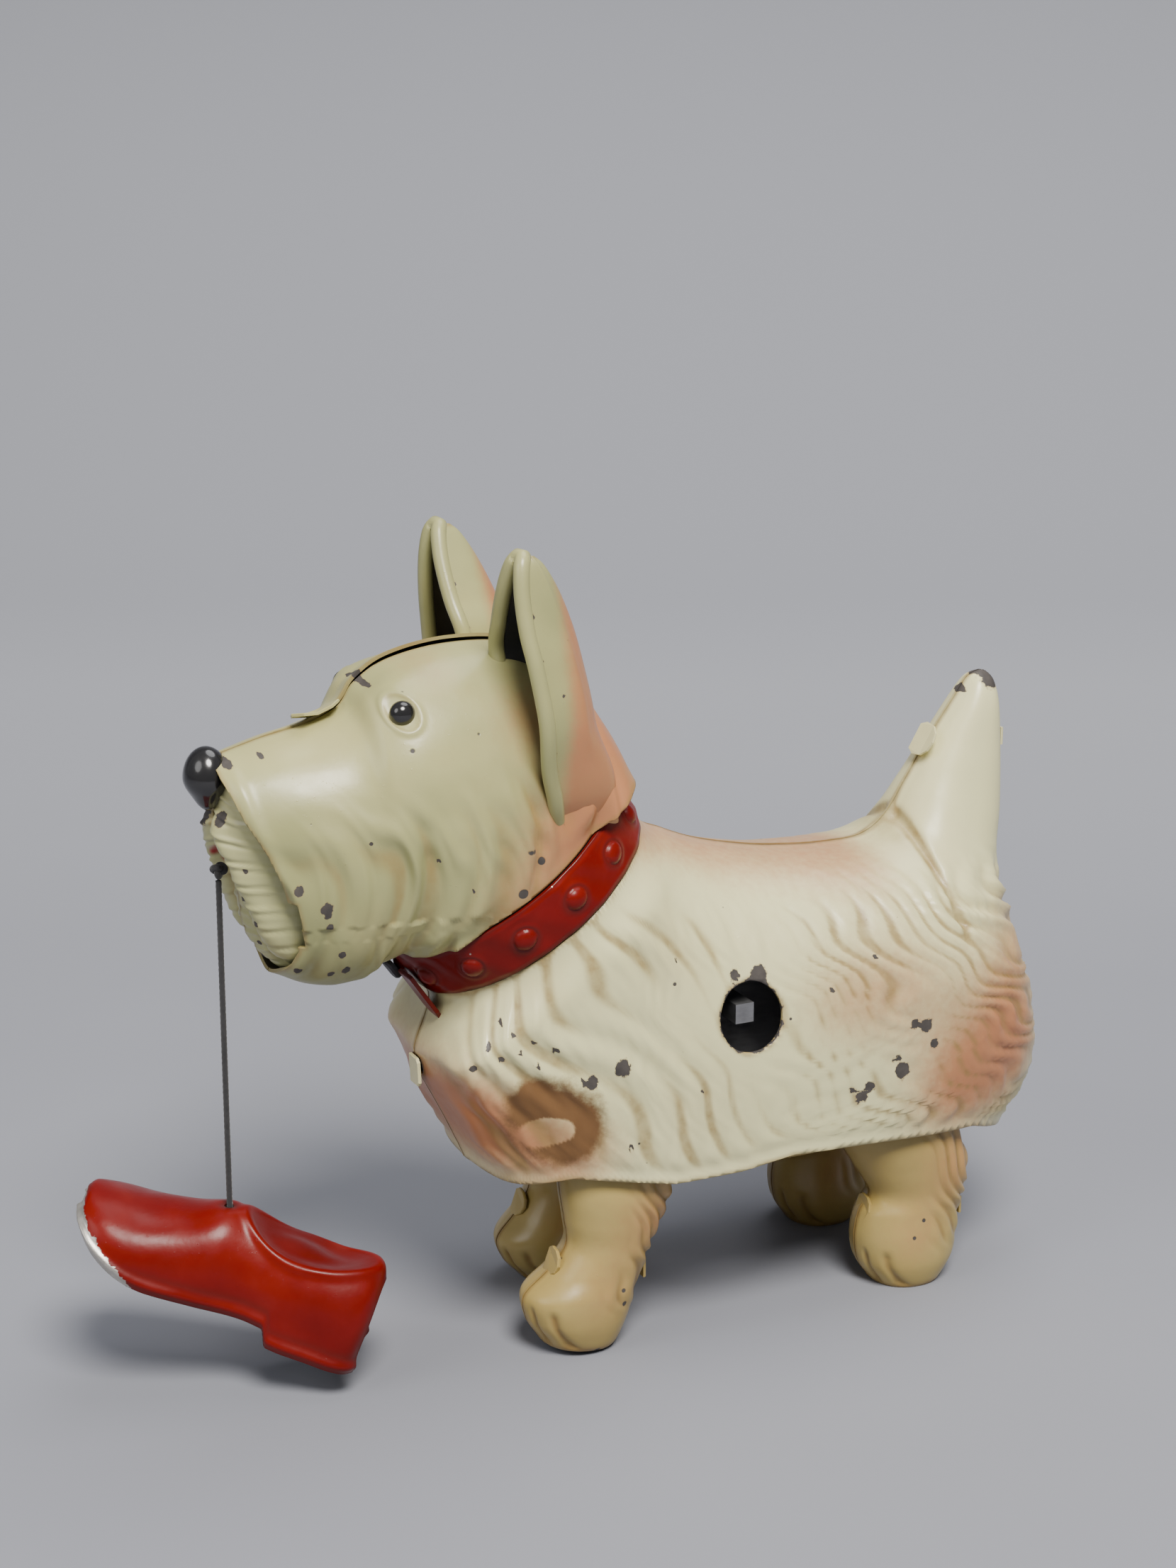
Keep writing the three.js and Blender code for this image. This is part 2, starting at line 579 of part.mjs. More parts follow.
// The second arbor stands at its meshing distance from both neighbours, below the line between them.
function secondArbor() {
  const dx = CRANK.x - ARBOR.x;
  const dz = CRANK.z - ARBOR.z;
  const d = Math.hypot(dx, dz);
  const along = (distance12 ** 2 - distance23 ** 2 + d ** 2) / (2 * d);
  const across = Math.sqrt(distance12 ** 2 - along ** 2);
  return { x: ARBOR.x + (along * dx + across * dz) / d, z: ARBOR.z + (along * dz - across * dx) / d };
}
const SECOND = secondArbor();

[['left', 1], ['right', -1]].forEach(([name, side]) => {
  const [y0, y1] = [side * MOTOR_HALF, side * PLATE_OUT].sort((a, b) => a - b);
  const holes = [
    [ARBOR.x, ARBOR.z, ARBOR_R + FIT],
    [SECOND.x, SECOND.z, SHAFT_R + FIT],
    [CRANK.x, CRANK.z, SHAFT_R + FIT],
    [REAR_ROD.x, REAR_ROD.z, REAR_ROD_R + FIT],
  ];
  addMesh(`motor_plate_${name}`, slab(PLATE, y0, y1, holes), STEEL);
});
PILLARS.forEach(([x, z], i) => {
  addMesh(`motor_pillar_${i + 1}`,
    rod(PILLAR_R, -MOTOR_HALF + FIT, MOTOR_HALF - FIT, x * SX, z * SZ, 16), BRASS);
});
[['left', 1], ['right', -1]].forEach(([name, side]) => {
  const ends = [side * (PLATE_OUT + FIT), side * (LEG_PLANE * SY + LEVER_T)];
  addMesh(`hip_pin_${name}`, rod(HIP_PIN_R, Math.min(...ends), Math.max(...ends), HIP.x, HIP.z, 16), STEEL);
  const plane = side * REAR_LEG_PLANE * SY;
  const strap = [
    [REAR_ROD.x - LEVER_HALF, REAR_ROD.z + 3], [REAR_ROD.x - LEVER_HALF, 8 * SZ],
    [REAR_ROD.x + LEVER_HALF, 8 * SZ], [REAR_ROD.x + LEVER_HALF, REAR_ROD.z + 3],
  ];
  addMesh(`rear_leg_${name}_strap`,
    slab(strap, plane - LEVER_T / 2, plane + LEVER_T / 2, [[REAR_ROD.x, REAR_ROD.z, REAR_ROD_R + FIT]]),
    STEEL);
});
const rodHalf = REAR_LEG_PLANE * SY + LEVER_T;
addMesh('rear_leg_rod', rod(REAR_ROD_R, -rodHalf, rodHalf, REAR_ROD.x, REAR_ROD.z, 16), STEEL);

// ---------------------------------------------------------------- clockwork
const polar = (r, angle) => [r * Math.cos(angle), r * Math.sin(angle)];

// Straight-sided teeth with one tooth pointing along the angle first.
function gear(teeth, gearModule, first, y0, y1, at, bore) {
  const pitch = (2 * Math.PI) / teeth;
  const r = wheelR(teeth, gearModule);
  const flank = [[r - 1.1 * gearModule, -0.26], [r + 0.8 * gearModule, -0.1],
    [r + 0.8 * gearModule, 0.1], [r - 1.1 * gearModule, 0.26]];
  const points = [];
  for (let i = 0; i < teeth; i++) {
    flank.forEach(([radius, share]) => points.push(polar(radius, first + (i + share) * pitch)));
  }
  return moved(slab(points, y0, y1, [[0, 0, bore + FIT]]), at.x, 0, at.z);
}

const angleTo = (a, b) => Math.atan2(b.z - a.z, b.x - a.x);
const gapAngle = (line, teeth) => line + Math.PI + Math.PI / teeth;
const line12 = angleTo(ARBOR, SECOND);
const line23 = angleTo(SECOND, CRANK);

const GREAT_Y = MOTOR_HALF - 2.8;
const greatWheel = gear(GREAT_TEETH, GREAT_MODULE, line12, GREAT_Y, GREAT_Y + WHEEL_T, ARBOR, ARBOR_R);
addMesh('great_wheel', greatWheel, BRASS);

// The ratchet's steep faces meet the click; every tooth repeats after one pitch.
const RATCHET_ROOT = RATCHET_R - 1.4;
const ratchetPitch = (2 * Math.PI) / RATCHET_TEETH;
const ratchetPoints = [];
for (let i = 0; i < RATCHET_TEETH; i++) {
  ratchetPoints.push(polar(RATCHET_R, i * ratchetPitch));
  ratchetPoints.push(polar(RATCHET_ROOT, i * ratchetPitch + deg(0.5)));
}
const RATCHET_Y = GREAT_Y + WHEEL_T + FIT;
const ratchet = slab(ratchetPoints, RATCHET_Y, RATCHET_Y + WHEEL_T, [[0, 0, ARBOR_R + FIT]]);
addMesh('ratchet_wheel', moved(ratchet, ARBOR.x, 0, ARBOR.z), STEEL);
const clickPoints = [
  [RATCHET_R - 0.7, 93], [RATCHET_R + 0.4, 92.5], [RATCHET_R + 3.4, 118], [RATCHET_R + 5.1, 124],
  [RATCHET_R + 5.1, 132], [RATCHET_R + 3, 134], [RATCHET_R + 2.3, 124], [RATCHET_R - 0.3, 100],
].map(([r, a]) => polar(r, deg(a)));
addMesh('click', moved(slab(clickPoints.reverse(), RATCHET_Y, RATCHET_Y + WHEEL_T), ARBOR.x, 0, ARBOR.z),
  SPRING_STEEL);

// Winding arbor with the square that takes the key, ending below the flank.
const ARBOR_END = (DOG_WIDTH / 2) - KEY_END_DEPTH;
const SQUARE_START = MOTOR_HALF + PLATE_T + 0.6;
const square = new THREE.BoxGeometry(KEY_SQUARE, ARBOR_END - SQUARE_START + 0.5, KEY_SQUARE);
const arbor = toSolid(rod(ARBOR_R, -PLATE_OUT, SQUARE_START, ARBOR.x, ARBOR.z, 24))
  .add(toSolid(moved(square, ARBOR.x, (ARBOR_END + SQUARE_START - 0.5) / 2, ARBOR.z)));
addMesh('winding_arbor', toGeometry(arbor), STEEL);

// Mainspring: a flat spiral strip round the arbor.
const SPRING_Y = [-MOTOR_HALF + 4.5, GREAT_Y - 1.3];
const SPRING_T = 0.7;
const SPRING_SEGMENTS = 14;
const springEdge = (offset) => {
  const points = [];
  const total = SPRING_TURNS * SPRING_SEGMENTS;
  for (let i = 0; i <= total; i++) {
    const r = ARBOR_R + 1.2 + ((SPRING_R - ARBOR_R - 1.2) * i) / total;
    points.push(polar(r + offset, (2 * Math.PI * i) / SPRING_SEGMENTS));
  }
  return points;
};
const springOutline = [...springEdge(SPRING_T / 2), ...springEdge(-SPRING_T / 2).reverse()];
addMesh('mainspring', moved(slab(springOutline, ...SPRING_Y), ARBOR.x, 0, ARBOR.z), SPRING_STEEL);

addMesh('second_arbor', rod(SHAFT_R, -PLATE_OUT, PLATE_OUT, SECOND.x, SECOND.z, 16), STEEL);
addMesh('second_pinion',
  gear(SECOND_PINION_TEETH, GREAT_MODULE, gapAngle(line12, SECOND_PINION_TEETH), GREAT_Y - 1, GREAT_Y + 2,
    SECOND, SHAFT_R),
  BRASS);
const SECOND_WHEEL_Y = -MOTOR_HALF + 1.6;
addMesh('second_wheel',
  gear(SECOND_TEETH, SECOND_MODULE, line23, SECOND_WHEEL_Y, SECOND_WHEEL_Y + WHEEL_T, SECOND, SHAFT_R),
  BRASS);
const CRANK_DISC_R = CRANK_THROW + CRANK_PIN_R + 1.2;
const shaftEnd = PLATE_OUT + FIT + WHEEL_T;
addMesh('crankshaft', rod(SHAFT_R, -shaftEnd, shaftEnd, CRANK.x, CRANK.z, 16), STEEL);
addMesh('crank_pinion',
  gear(CRANK_PINION_TEETH, SECOND_MODULE, gapAngle(line23, CRANK_PINION_TEETH),
    SECOND_WHEEL_Y - 1, SECOND_WHEEL_Y + 1.6, CRANK, SHAFT_R),
  BRASS);

// Each crank pin stops short of its lever's slot: this is where the linkage is left open.
[['left', 1], ['right', -1]].forEach(([name, side]) => {
  const face = [side * (PLATE_OUT + FIT), side * (PLATE_OUT + FIT + WHEEL_T)];
  const disc = circle(0, 0, CRANK_DISC_R, 28).map((p) => [p.x, p.y]);
  const plate = slab(disc, Math.min(...face), Math.max(...face), [[0, 0, SHAFT_R + FIT]]);
  const tip = side * (LEG_PLANE * SY - LEVER_T / 2 - FIT);
  const reach = [side * (PLATE_OUT + FIT + WHEEL_T / 2), tip];
  const pin = rod(CRANK_PIN_R, Math.min(...reach), Math.max(...reach),
    -side * (CRANK_THROW + SHAFT_R), 0, 12);
  addMesh(`crank_disc_${name}`,
    moved(toGeometry(toSolid(plate).add(toSolid(pin))), CRANK.x, 0, CRANK.z), STEEL);
});

// ---------------------------------------------------------------- thread and shoe
addMesh('mouth_knot', moved(new THREE.SphereGeometry(KNOT_R, 9, 6), THREAD_X, 0, THREAD_TOP), THREAD_BLACK);
const threadTop = THREAD_TOP - KNOT_R - FIT;
const threadEnd = threadTop - THREAD_LENGTH;
const threadRound = new THREE.Shape().absarc(0, 0, THREAD_D / 2, 0, 2 * Math.PI, false);
const thread = new THREE.ExtrudeGeometry(threadRound, {
  steps: 12, depth: THREAD_LENGTH, bevelEnabled: false, curveSegments: 4,
});
addMesh('thread', moved(thread, THREAD_X, 0, threadEnd), THREAD_BLACK);

// Shoe sections from heel to toe: distance forward, top of the upper, half width.
const SHOE = [
  [0.0, 10.5, 5.6], [2.0, 12.5, 7.4], [8.0, 12.8, 8.2], [15.0, 12.0, 7.8], [21.0, 13.2, 7.8],
  [25.0, 13.4, 8.4], [30.0, 11.4, 9.4], [36.0, 9.6, 9.8], [41.0, 8.6, 8.6], [44.0, 7.0, 6.0],
  [45.0, 5.2, 2.6],
];
const SHOE_STRETCH = SHOE_LENGTH / 45;
const SHOE_SHEET = 0.7;
const HEEL_DROP = 2.5;
const HEEL_FRONT = 13 * SHOE_STRETCH;
const THREAD_HOLE = { x: 25 * SHOE_STRETCH, z: 13.4 };
const shoeRows = interpolate(SHOE.map(([x, top, w]) => chord(
  x * SHOE_STRETCH, top, x * SHOE_STRETCH, -top, w)), 15);
const shoeInner = shrink(shoeRows, SHOE_SHEET)
  .filter((c) => c.ax > SHOE_SHEET * 1.5 && c.ax < SHOE_LENGTH - SHOE_SHEET * 2);
const DISH = new THREE.SphereGeometry(1, 12, 8).scale(9, 5.2, 3.2)
  .translate(11.5 * SHOE_STRETCH, 0, THREAD_HOLE.z + 0.8);
const DISH_UNDER = new THREE.SphereGeometry(1, 12, 8).scale(9.8, 6, 4.1)
  .translate(11.5 * SHOE_STRETCH, 0, THREAD_HOLE.z + 0.8);
const soleCut = slab([
  [-5, -HEEL_DROP], [HEEL_FRONT, -HEEL_DROP], [HEEL_FRONT + 1.5, 0], [SHOE_LENGTH + 5, 0],
  [SHOE_LENGTH + 5, -40], [-5, -40],
], -40, 40);
const threadRoom = rodZ(THREAD_D / 2 + FIT, THREAD_HOLE.z - 4, THREAD_HOLE.z + 4, THREAD_HOLE.x);
const shoe = toSolid(form(shoeRows, 16, 2.6))
  .subtract(toSolid(DISH))
  .subtract(toSolid(form(shoeInner, 16, 2.6)).subtract(toSolid(DISH_UNDER)))
  .subtract(toSolid(soleCut))
  .subtract(toSolid(threadRoom));
const shoeGroup = new THREE.Group();
const hang = new THREE.Euler(0, -deg(SHOE_PITCH), deg(SHOE_YAW), 'ZYX');
shoeGroup.rotation.copy(hang);
const hole = new THREE.Vector3(THREAD_HOLE.x, 0, THREAD_HOLE.z).applyEuler(hang);
const SHOE_KNOT_R = 1.2;
shoeGroup.position.set(THREAD_X - hole.x, -hole.y, threadEnd + 2.2 - hole.z);
model.add(shoeGroup);
addMesh('shoe', toGeometry(shoe), RED, shoeGroup);
const shoeKnot = new THREE.SphereGeometry(SHOE_KNOT_R, 9, 6);
addMesh('shoe_knot', moved(shoeKnot, THREAD_X, 0, threadEnd - FIT - SHOE_KNOT_R), THREAD_BLACK);

// ---------------------------------------------------------------- origin under the middle
model.updateMatrixWorld(true);
const bounds = new THREE.Box3();
model.traverse((piece) => {
  if (piece.isMesh && !['mouth_knot', 'thread', 'shoe_knot'].includes(piece.name)) {
    bounds.expandByObject(piece, true);
  }
});
const middle = bounds.getCenter(new THREE.Vector3());
model.position.set(-middle.x, -middle.y, -bounds.min.z);

export default model;
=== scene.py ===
import json
import math

import bpy
import numpy as np
from mathutils import Matrix, Vector
from mathutils.kdtree import KDTree


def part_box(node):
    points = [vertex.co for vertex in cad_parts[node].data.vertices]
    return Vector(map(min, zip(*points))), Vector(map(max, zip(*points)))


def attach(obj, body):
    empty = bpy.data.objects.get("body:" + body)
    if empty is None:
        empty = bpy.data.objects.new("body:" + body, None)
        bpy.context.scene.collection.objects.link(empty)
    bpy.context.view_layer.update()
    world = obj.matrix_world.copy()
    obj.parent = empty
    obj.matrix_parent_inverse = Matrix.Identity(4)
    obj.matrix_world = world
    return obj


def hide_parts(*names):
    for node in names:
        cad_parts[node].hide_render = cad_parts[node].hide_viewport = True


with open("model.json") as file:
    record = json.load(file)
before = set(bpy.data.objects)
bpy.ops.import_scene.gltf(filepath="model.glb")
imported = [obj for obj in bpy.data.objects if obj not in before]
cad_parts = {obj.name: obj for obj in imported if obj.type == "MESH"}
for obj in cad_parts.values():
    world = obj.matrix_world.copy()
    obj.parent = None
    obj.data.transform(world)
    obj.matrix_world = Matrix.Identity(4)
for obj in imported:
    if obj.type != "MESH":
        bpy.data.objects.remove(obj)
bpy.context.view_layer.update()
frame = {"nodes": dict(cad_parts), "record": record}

# The toy was designed in millimetres; SHIFT carries the design's middle to the row frame's.
knot_low, knot_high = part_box("mouth_knot")
THREAD_X, THREAD_TOP = 57.2, 76.6
SHIFT = Vector(((knot_low.x + knot_high.x) / 2 - THREAD_X / 1000, 0, 0))
SHEET = 0.5


def place(x, y, z):
    """A point of the design, in metres in the row frame."""
    return Vector((x / 1000, y / 1000, z / 1000)) + SHIFT


# ------------------------------------------------------------------ camera and thread
def studio_camera():
    turn, lift = math.radians(26), math.radians(15)
    back = Vector((math.sin(turn) * math.cos(lift), math.cos(turn) * math.cos(lift), math.sin(lift)))
    camera = bpy.data.objects.new("camera", bpy.data.cameras.new("camera"))
    camera.data.sensor_width = 36
    camera.data.lens = 65.62
    camera.location = place(0, 0, 82.3) + back * 0.42
    camera.rotation_mode = "QUATERNION"
    camera.rotation_quaternion = (-back).to_track_quat("-Z", "Y")
    camera.data.clip_start, camera.data.clip_end = 0.01, 10
    bpy.context.scene.collection.objects.link(camera)
    bpy.context.scene.camera = camera


studio_camera()


# ------------------------------------------------------------------ node helpers
def new_group(name, inputs, outputs):
    group = bpy.data.node_groups.new(name, "ShaderNodeTree")
    for label, kind, value in inputs:
        socket = group.interface.new_socket(label, in_out="INPUT", socket_type=kind)
        if value is not None:
            socket.default_value = value
    for label, kind in outputs:
        group.interface.new_socket(label, in_out="OUTPUT", socket_type=kind)
    return group, group.nodes.new("NodeGroupInput"), group.nodes.new("NodeGroupOutput")


def sums(tree, operation, a, b=None, clamp=False):
    node = tree.nodes.new("ShaderNodeMath")
    node.operation, node.use_clamp = operation, clamp
    for slot, value in zip(node.inputs, (a, b)):
        if isinstance(value, (int, float)):
            slot.default_value = value
        elif value is not None:
            tree.links.new(value, slot)
    return node.outputs[0]


def ramp(tree, value, low, high, start=0.0, end=1.0):
    node = tree.nodes.new("ShaderNodeMapRange")
    node.interpolation_type = "SMOOTHSTEP"
    for name, given in (("From Min", low), ("From Max", high), ("To Min", start), ("To Max", end)):
        if isinstance(given, (int, float)):
            node.inputs[name].default_value = given
        else:
            tree.links.new(given, node.inputs[name])
    tree.links.new(value, node.inputs["Value"])
    return node.outputs["Result"]


def noise(tree, coordinate, scale, detail=3.0, roughness=0.55):
    node = tree.nodes.new("ShaderNodeTexNoise")
    node.inputs["Scale"].default_value = scale
    node.inputs["Detail"].default_value = detail
    node.inputs["Roughness"].default_value = roughness
    tree.links.new(coordinate, node.inputs["Vector"])
    return node.outputs["Fac"]


def blend_colour(tree, share, under, over):
    node = tree.nodes.new("ShaderNodeMix")
    node.data_type = "RGBA"
    for slot, value in ((node.inputs[0], share), (node.inputs[6], under), (node.inputs[7], over)):
        if isinstance(value, (tuple, list)):
            slot.default_value = (*value, 1) if len(value) == 3 else value
        elif isinstance(value, (int, float)):
            slot.default_value = value
        else:
            tree.links.new(value, slot)
    return node.outputs[2]


def painted_value(tree, name):
    node = tree.nodes.new("ShaderNodeAttribute")
    node.attribute_name = name
    return node.outputs["Fac"]


# ------------------------------------------------------------------ shared effects
def chipped_paint_group():
    """Flakes off where Wear is high: Chip is bare metal, Halo the rusty ring round it."""
    g, i, o = new_group("chipped paint",
                        [("Vector", "NodeSocketVector", None), ("Wear", "NodeSocketFloat", 0.0),
                         ("Flake Size", "NodeSocketFloat", 900.0), ("Specks", "NodeSocketFloat", 0.5)],
                        [("Chip", "NodeSocketFloat"), ("Halo", "NodeSocketFloat")])
    jag = g.nodes.new("ShaderNodeTexNoise")
    jag.inputs["Detail"].default_value = 4
    jag.inputs["Roughness"].default_value = 0.65
    g.links.new(i.outputs["Vector"], jag.inputs["Vector"])
    g.links.new(i.outputs["Flake Size"], jag.inputs["Scale"])
    fleck = g.nodes.new("ShaderNodeTexVoronoi")
    fleck.inputs["Scale"].default_value = 260
    g.links.new(i.outputs["Vector"], fleck.inputs["Vector"])
    size = noise(g, i.outputs["Vector"], 90, 1)
    speck = sums(g, "SUBTRACT", sums(g, "MULTIPLY", sums(g, "SUBTRACT", size, 0.55), i.outputs["Specks"]),
                 fleck.outputs["Distance"])
    speck = ramp(g, speck, -0.02, 0.02)
    field = sums(g, "ADD", i.outputs["Wear"],
                 sums(g, "MULTIPLY", sums(g, "SUBTRACT", jag.outputs["Fac"], 0.5), 1.1))
    flake = ramp(g, field, 0.60, 0.64)
    g.links.new(sums(g, "MAXIMUM", flake, speck), o.inputs["Chip"])
    g.links.new(ramp(g, field, 0.46, 0.62), o.inputs["Halo"])
    return g


def varnish_and_shade_group():
    """Yellow-brown varnish in soft clouds, and a yellow-brown darkening in the pressed hollows that is
    pooled varnish and painted shade.
    """
    g, i, o = new_group("varnish and painted shade",
                        [("Vector", "NodeSocketVector", None), ("Hollow", "NodeSocketFloat", 0.0),
                         ("Cloud", "NodeSocketFloat", 0.3), ("Depth", "NodeSocketFloat", 0.8)],
                        [("Mask", "NodeSocketFloat")])
    cloud = ramp(g, noise(g, i.outputs["Vector"], 55, 4), 0.42, 0.75)
    fine = ramp(g, noise(g, i.outputs["Vector"], 420, 3), 0.25, 0.8, 0.6, 1.0)
    # Hollows darkened: pooled varnish and painted shade in the recesses.
    pooled_and_shaded = sums(g, "MULTIPLY", ramp(g, i.outputs["Hollow"], 0.15, 0.95), i.outputs["Depth"])
    both = sums(g, "ADD", sums(g, "MULTIPLY", pooled_and_shaded, fine),
                sums(g, "MULTIPLY", cloud, i.outputs["Cloud"]), True)
    g.links.new(both, o.inputs["Mask"])
    return g


def sprayed_skin_group():
    """Height of the sprayed enamel: faint orange peel and dust nibs."""
    g, i, o = new_group("sprayed skin",
                        [("Vector", "NodeSocketVector", None), ("Peel", "NodeSocketFloat", 0.5)],
                        [("Height", "NodeSocketFloat")])
    peel = sums(g, "MULTIPLY", noise(g, i.outputs["Vector"], 700, 2), i.outputs["Peel"])
    nib = ramp(g, noise(g, i.outputs["Vector"], 1600, 2, 0.7), 0.66, 0.8, 0, 0.35)
    g.links.new(sums(g, "ADD", peel, nib), o.inputs["Height"])
    return g


def fine_scratches_group():
    """Brushed lines along one direction, for sheet steel and brass."""
    g, i, o = new_group("fine scratches",
                        [("Vector", "NodeSocketVector", None), ("Length", "NodeSocketVector", (1, 1, 12))],
                        [("Value", "NodeSocketFloat")])
    spread = g.nodes.new("ShaderNodeVectorMath")
    spread.operation = "MULTIPLY"
    g.links.new(i.outputs["Vector"], spread.inputs[0])
    g.links.new(i.outputs["Length"], spread.inputs[1])
    g.links.new(noise(g, spread.outputs[0], 350, 4, 0.7), o.inputs["Value"])
    return g


CHIPPED = chipped_paint_group()
VARNISH_AND_SHADE = varnish_and_shade_group()
SPRAYED = sprayed_skin_group()
SCRATCHES = fine_scratches_group()


def use_group(tree, group, **inputs):
    node = tree.nodes.new("ShaderNodeGroup")
    node.node_tree = group
    for name, value in inputs.items():
        slot = node.inputs[name.replace("_", " ")]
        if isinstance(value, (int, float, tuple)):
            slot.default_value = value
        else:
            tree.links.new(value, slot)
    return node.outputs


def finish_start(name):
    material = bpy.data.materials.new(name)
    material.use_nodes = True
    tree = material.node_tree
    shader = tree.nodes["Principled BSDF"]
    where = tree.nodes.new("ShaderNodeTexCoord").outputs["Object"]
    return material, tree, shader, where


def bump(tree, shader, height, strength, distance=0.0002):
    node = tree.nodes.new("ShaderNodeBump")
    node.inputs["Strength"].default_value = strength
    node.inputs["Distance"].default_value = distance
    tree.links.new(height, node.inputs["Height"])
    tree.links.new(node.outputs[0], shader.inputs["Normal"])


# ------------------------------------------------------------------ finishes
def enamel(name, coat, deep, pink, cloud, depth, specks):
    """Sprayed enamel over tin with airbrushed tint, yellow-brown in the hollows as pooled varnish and
    painted shade, and chips.
    """
    material, tree, shader, where = finish_start(name)
    tone = blend_colour(tree, ramp(tree, noise(tree, where, 28, 3), 0.35, 0.7), coat, deep)
    mist = ramp(tree, sums(tree, "ADD", painted_value(tree, "blush"),
                           sums(tree, "MULTIPLY", sums(tree, "SUBTRACT", noise(tree, where, 900, 2), 0.5),
                                0.25)),
                0.05, 1.1)
    tinted = blend_colour(tree, mist, tone, pink)
    varnish_and_shade = use_group(tree, VARNISH_AND_SHADE, Vector=where, Hollow=painted_value(tree, "hollow"), Cloud=cloud,
                     Depth=depth)
    worn = use_group(tree, CHIPPED, Vector=where, Wear=painted_value(tree, "wear"), Specks=specks)
    # Yellow-brown over the hollows: pooled varnish with painted shade.
    varnished_and_shaded = blend_colour(tree, varnish_and_shade["Mask"], tinted, (0.27, 0.17, 0.05))
    stain = ramp(tree, sums(tree, "ADD", painted_value(tree, "stain"),
                            sums(tree, "MULTIPLY",
                                 sums(tree, "SUBTRACT", noise(tree, where, 260, 5, 0.7), 0.5), 0.9)),
                 0.3, 0.85)
    rusty = blend_colour(tree, stain, varnished_and_shaded, (0.16, 0.075, 0.022))
    haloed = blend_colour(tree, sums(tree, "MULTIPLY", worn["Halo"], 0.55), rusty, (0.30, 0.20, 0.09))
    dark = blend_colour(tree, noise(tree, where, 500, 3), (0.018, 0.016, 0.016), (0.10, 0.085, 0.075))
    tree.links.new(blend_colour(tree, worn["Chip"], haloed, dark), shader.inputs["Base Color"])
    matt = sums(tree, "ADD", ramp(tree, noise(tree, where, 160, 4), 0.3, 0.75, 0.30, 0.44),
                sums(tree, "MULTIPLY", sums(tree, "MAXIMUM", worn["Chip"], stain), 0.3))
    tree.links.new(matt, shader.inputs["Roughness"])
    shader.inputs["Coat Weight"].default_value = 0.10
    shader.inputs["Coat Roughness"].default_value = 0.18
    skin = use_group(tree, SPRAYED, Vector=where, Peel=0.4)
    bump(tree, shader, sums(tree, "SUBTRACT", skin["Height"], sums(tree, "MULTIPLY", worn["Chip"], 0.9)),
         0.35)
    return material


def red_enamel(name, wear_scale, specks):
    material, tree, shader, where = finish_start(name)
    tone = blend_colour(tree, ramp(tree, noise(tree, where, 60, 4), 0.3, 0.75), (0.13, 0.002, 0.001),
                        (0.19, 0.004, 0.002))
    dusty = blend_colour(tree,
                         sums(tree, "MULTIPLY", ramp(tree, noise(tree, where, 120, 5), 0.5, 0.85), 0.35),
                         tone, (0.20, 0.022, 0.013))
    # Darker red in the hollows: painted shade in the recesses.
    shaded_recesses = blend_colour(tree, sums(tree, "MULTIPLY", painted_value(tree, "hollow"), 0.7), dusty,
                        (0.07, 0.012, 0.010))
    worn = use_group(tree, CHIPPED, Vector=where, Wear=painted_value(tree, "wear"), Flake_Size=wear_scale,
                     Specks=specks)
    bare = blend_colour(tree, noise(tree, where, 700, 4), (0.62, 0.60, 0.56), (0.30, 0.27, 0.24))
    tree.links.new(blend_colour(tree, worn["Chip"], shaded_recesses, bare), shader.inputs["Base Color"])
    tree.links.new(sums(tree, "MULTIPLY", worn["Chip"], 0.7), shader.inputs["Metallic"])
    tree.links.new(ramp(tree, noise(tree, where, 200, 4), 0.3, 0.75, 0.28, 0.42), shader.inputs["Roughness"])
    shader.inputs["Specular IOR Level"].default_value = 0.22
    shader.inputs["Coat Weight"].default_value = 0.05
    shader.inputs["Coat Roughness"].default_value = 0.25
    skin = use_group(tree, SPRAYED, Vector=where, Peel=0.5)
    bump(tree, shader, sums(tree, "SUBTRACT", skin["Height"], sums(tree, "MULTIPLY", worn["Chip"], 0.8)),
         0.3)
    return material


def gloss_black():
    material, tree, shader, where = finish_start("gloss black")
    tone = blend_colour(tree, noise(tree, where, 300, 3), (0.006, 0.006, 0.007), (0.018, 0.017, 0.017))
    tree.links.new(tone, shader.inputs["Base Color"])
    tree.links.new(ramp(tree, noise(tree, where, 240, 4), 0.35, 0.8, 0.16, 0.32), shader.inputs["Roughness"])
    shader.inputs["Coat Weight"].default_value = 0.6
    shader.inputs["Coat Roughness"].default_value = 0.08
    bump(tree, shader, use_group(tree, SPRAYED, Vector=where, Peel=0.2)["Height"], 0.08)
    return material


def bare_metal(name, light, dark, length, rough):
    material, tree, shader, where = finish_start(name)
    lines = use_group(tree, SCRATCHES, Vector=where, Length=length)["Value"]
    tarnish = ramp(tree, noise(tree, where, 130, 5), 0.45, 0.75)
    clean = blend_colour(tree, lines, dark, light)
    tree.links.new(blend_colour(tree, sums(tree, "MULTIPLY", tarnish, 0.6), clean,
                                tuple(c * 0.35 for c in dark)),
                   shader.inputs["Base Color"])
    shader.inputs["Metallic"].default_value = 0.9
    tree.links.new(ramp(tree, lines, 0.3, 0.7, rough, rough + 0.22), shader.inputs["Roughness"])
    bump(tree, shader, lines, 0.12, 0.0001)
    return material


def cotton_thread():
    material, tree, shader, where = finish_start("black cotton thread")
    tone = blend_colour(tree, noise(tree, where, 1500, 3), (0.006, 0.006, 0.007), (0.035, 0.034, 0.036))
    tree.links.new(tone, shader.inputs["Base Color"])
    shader.inputs["Roughness"].default_value = 0.85
    shader.inputs["Sheen Weight"].default_value = 0.3
    bump(tree, shader, noise(tree, where, 3500, 2), 0.4, 0.0001)
    return material


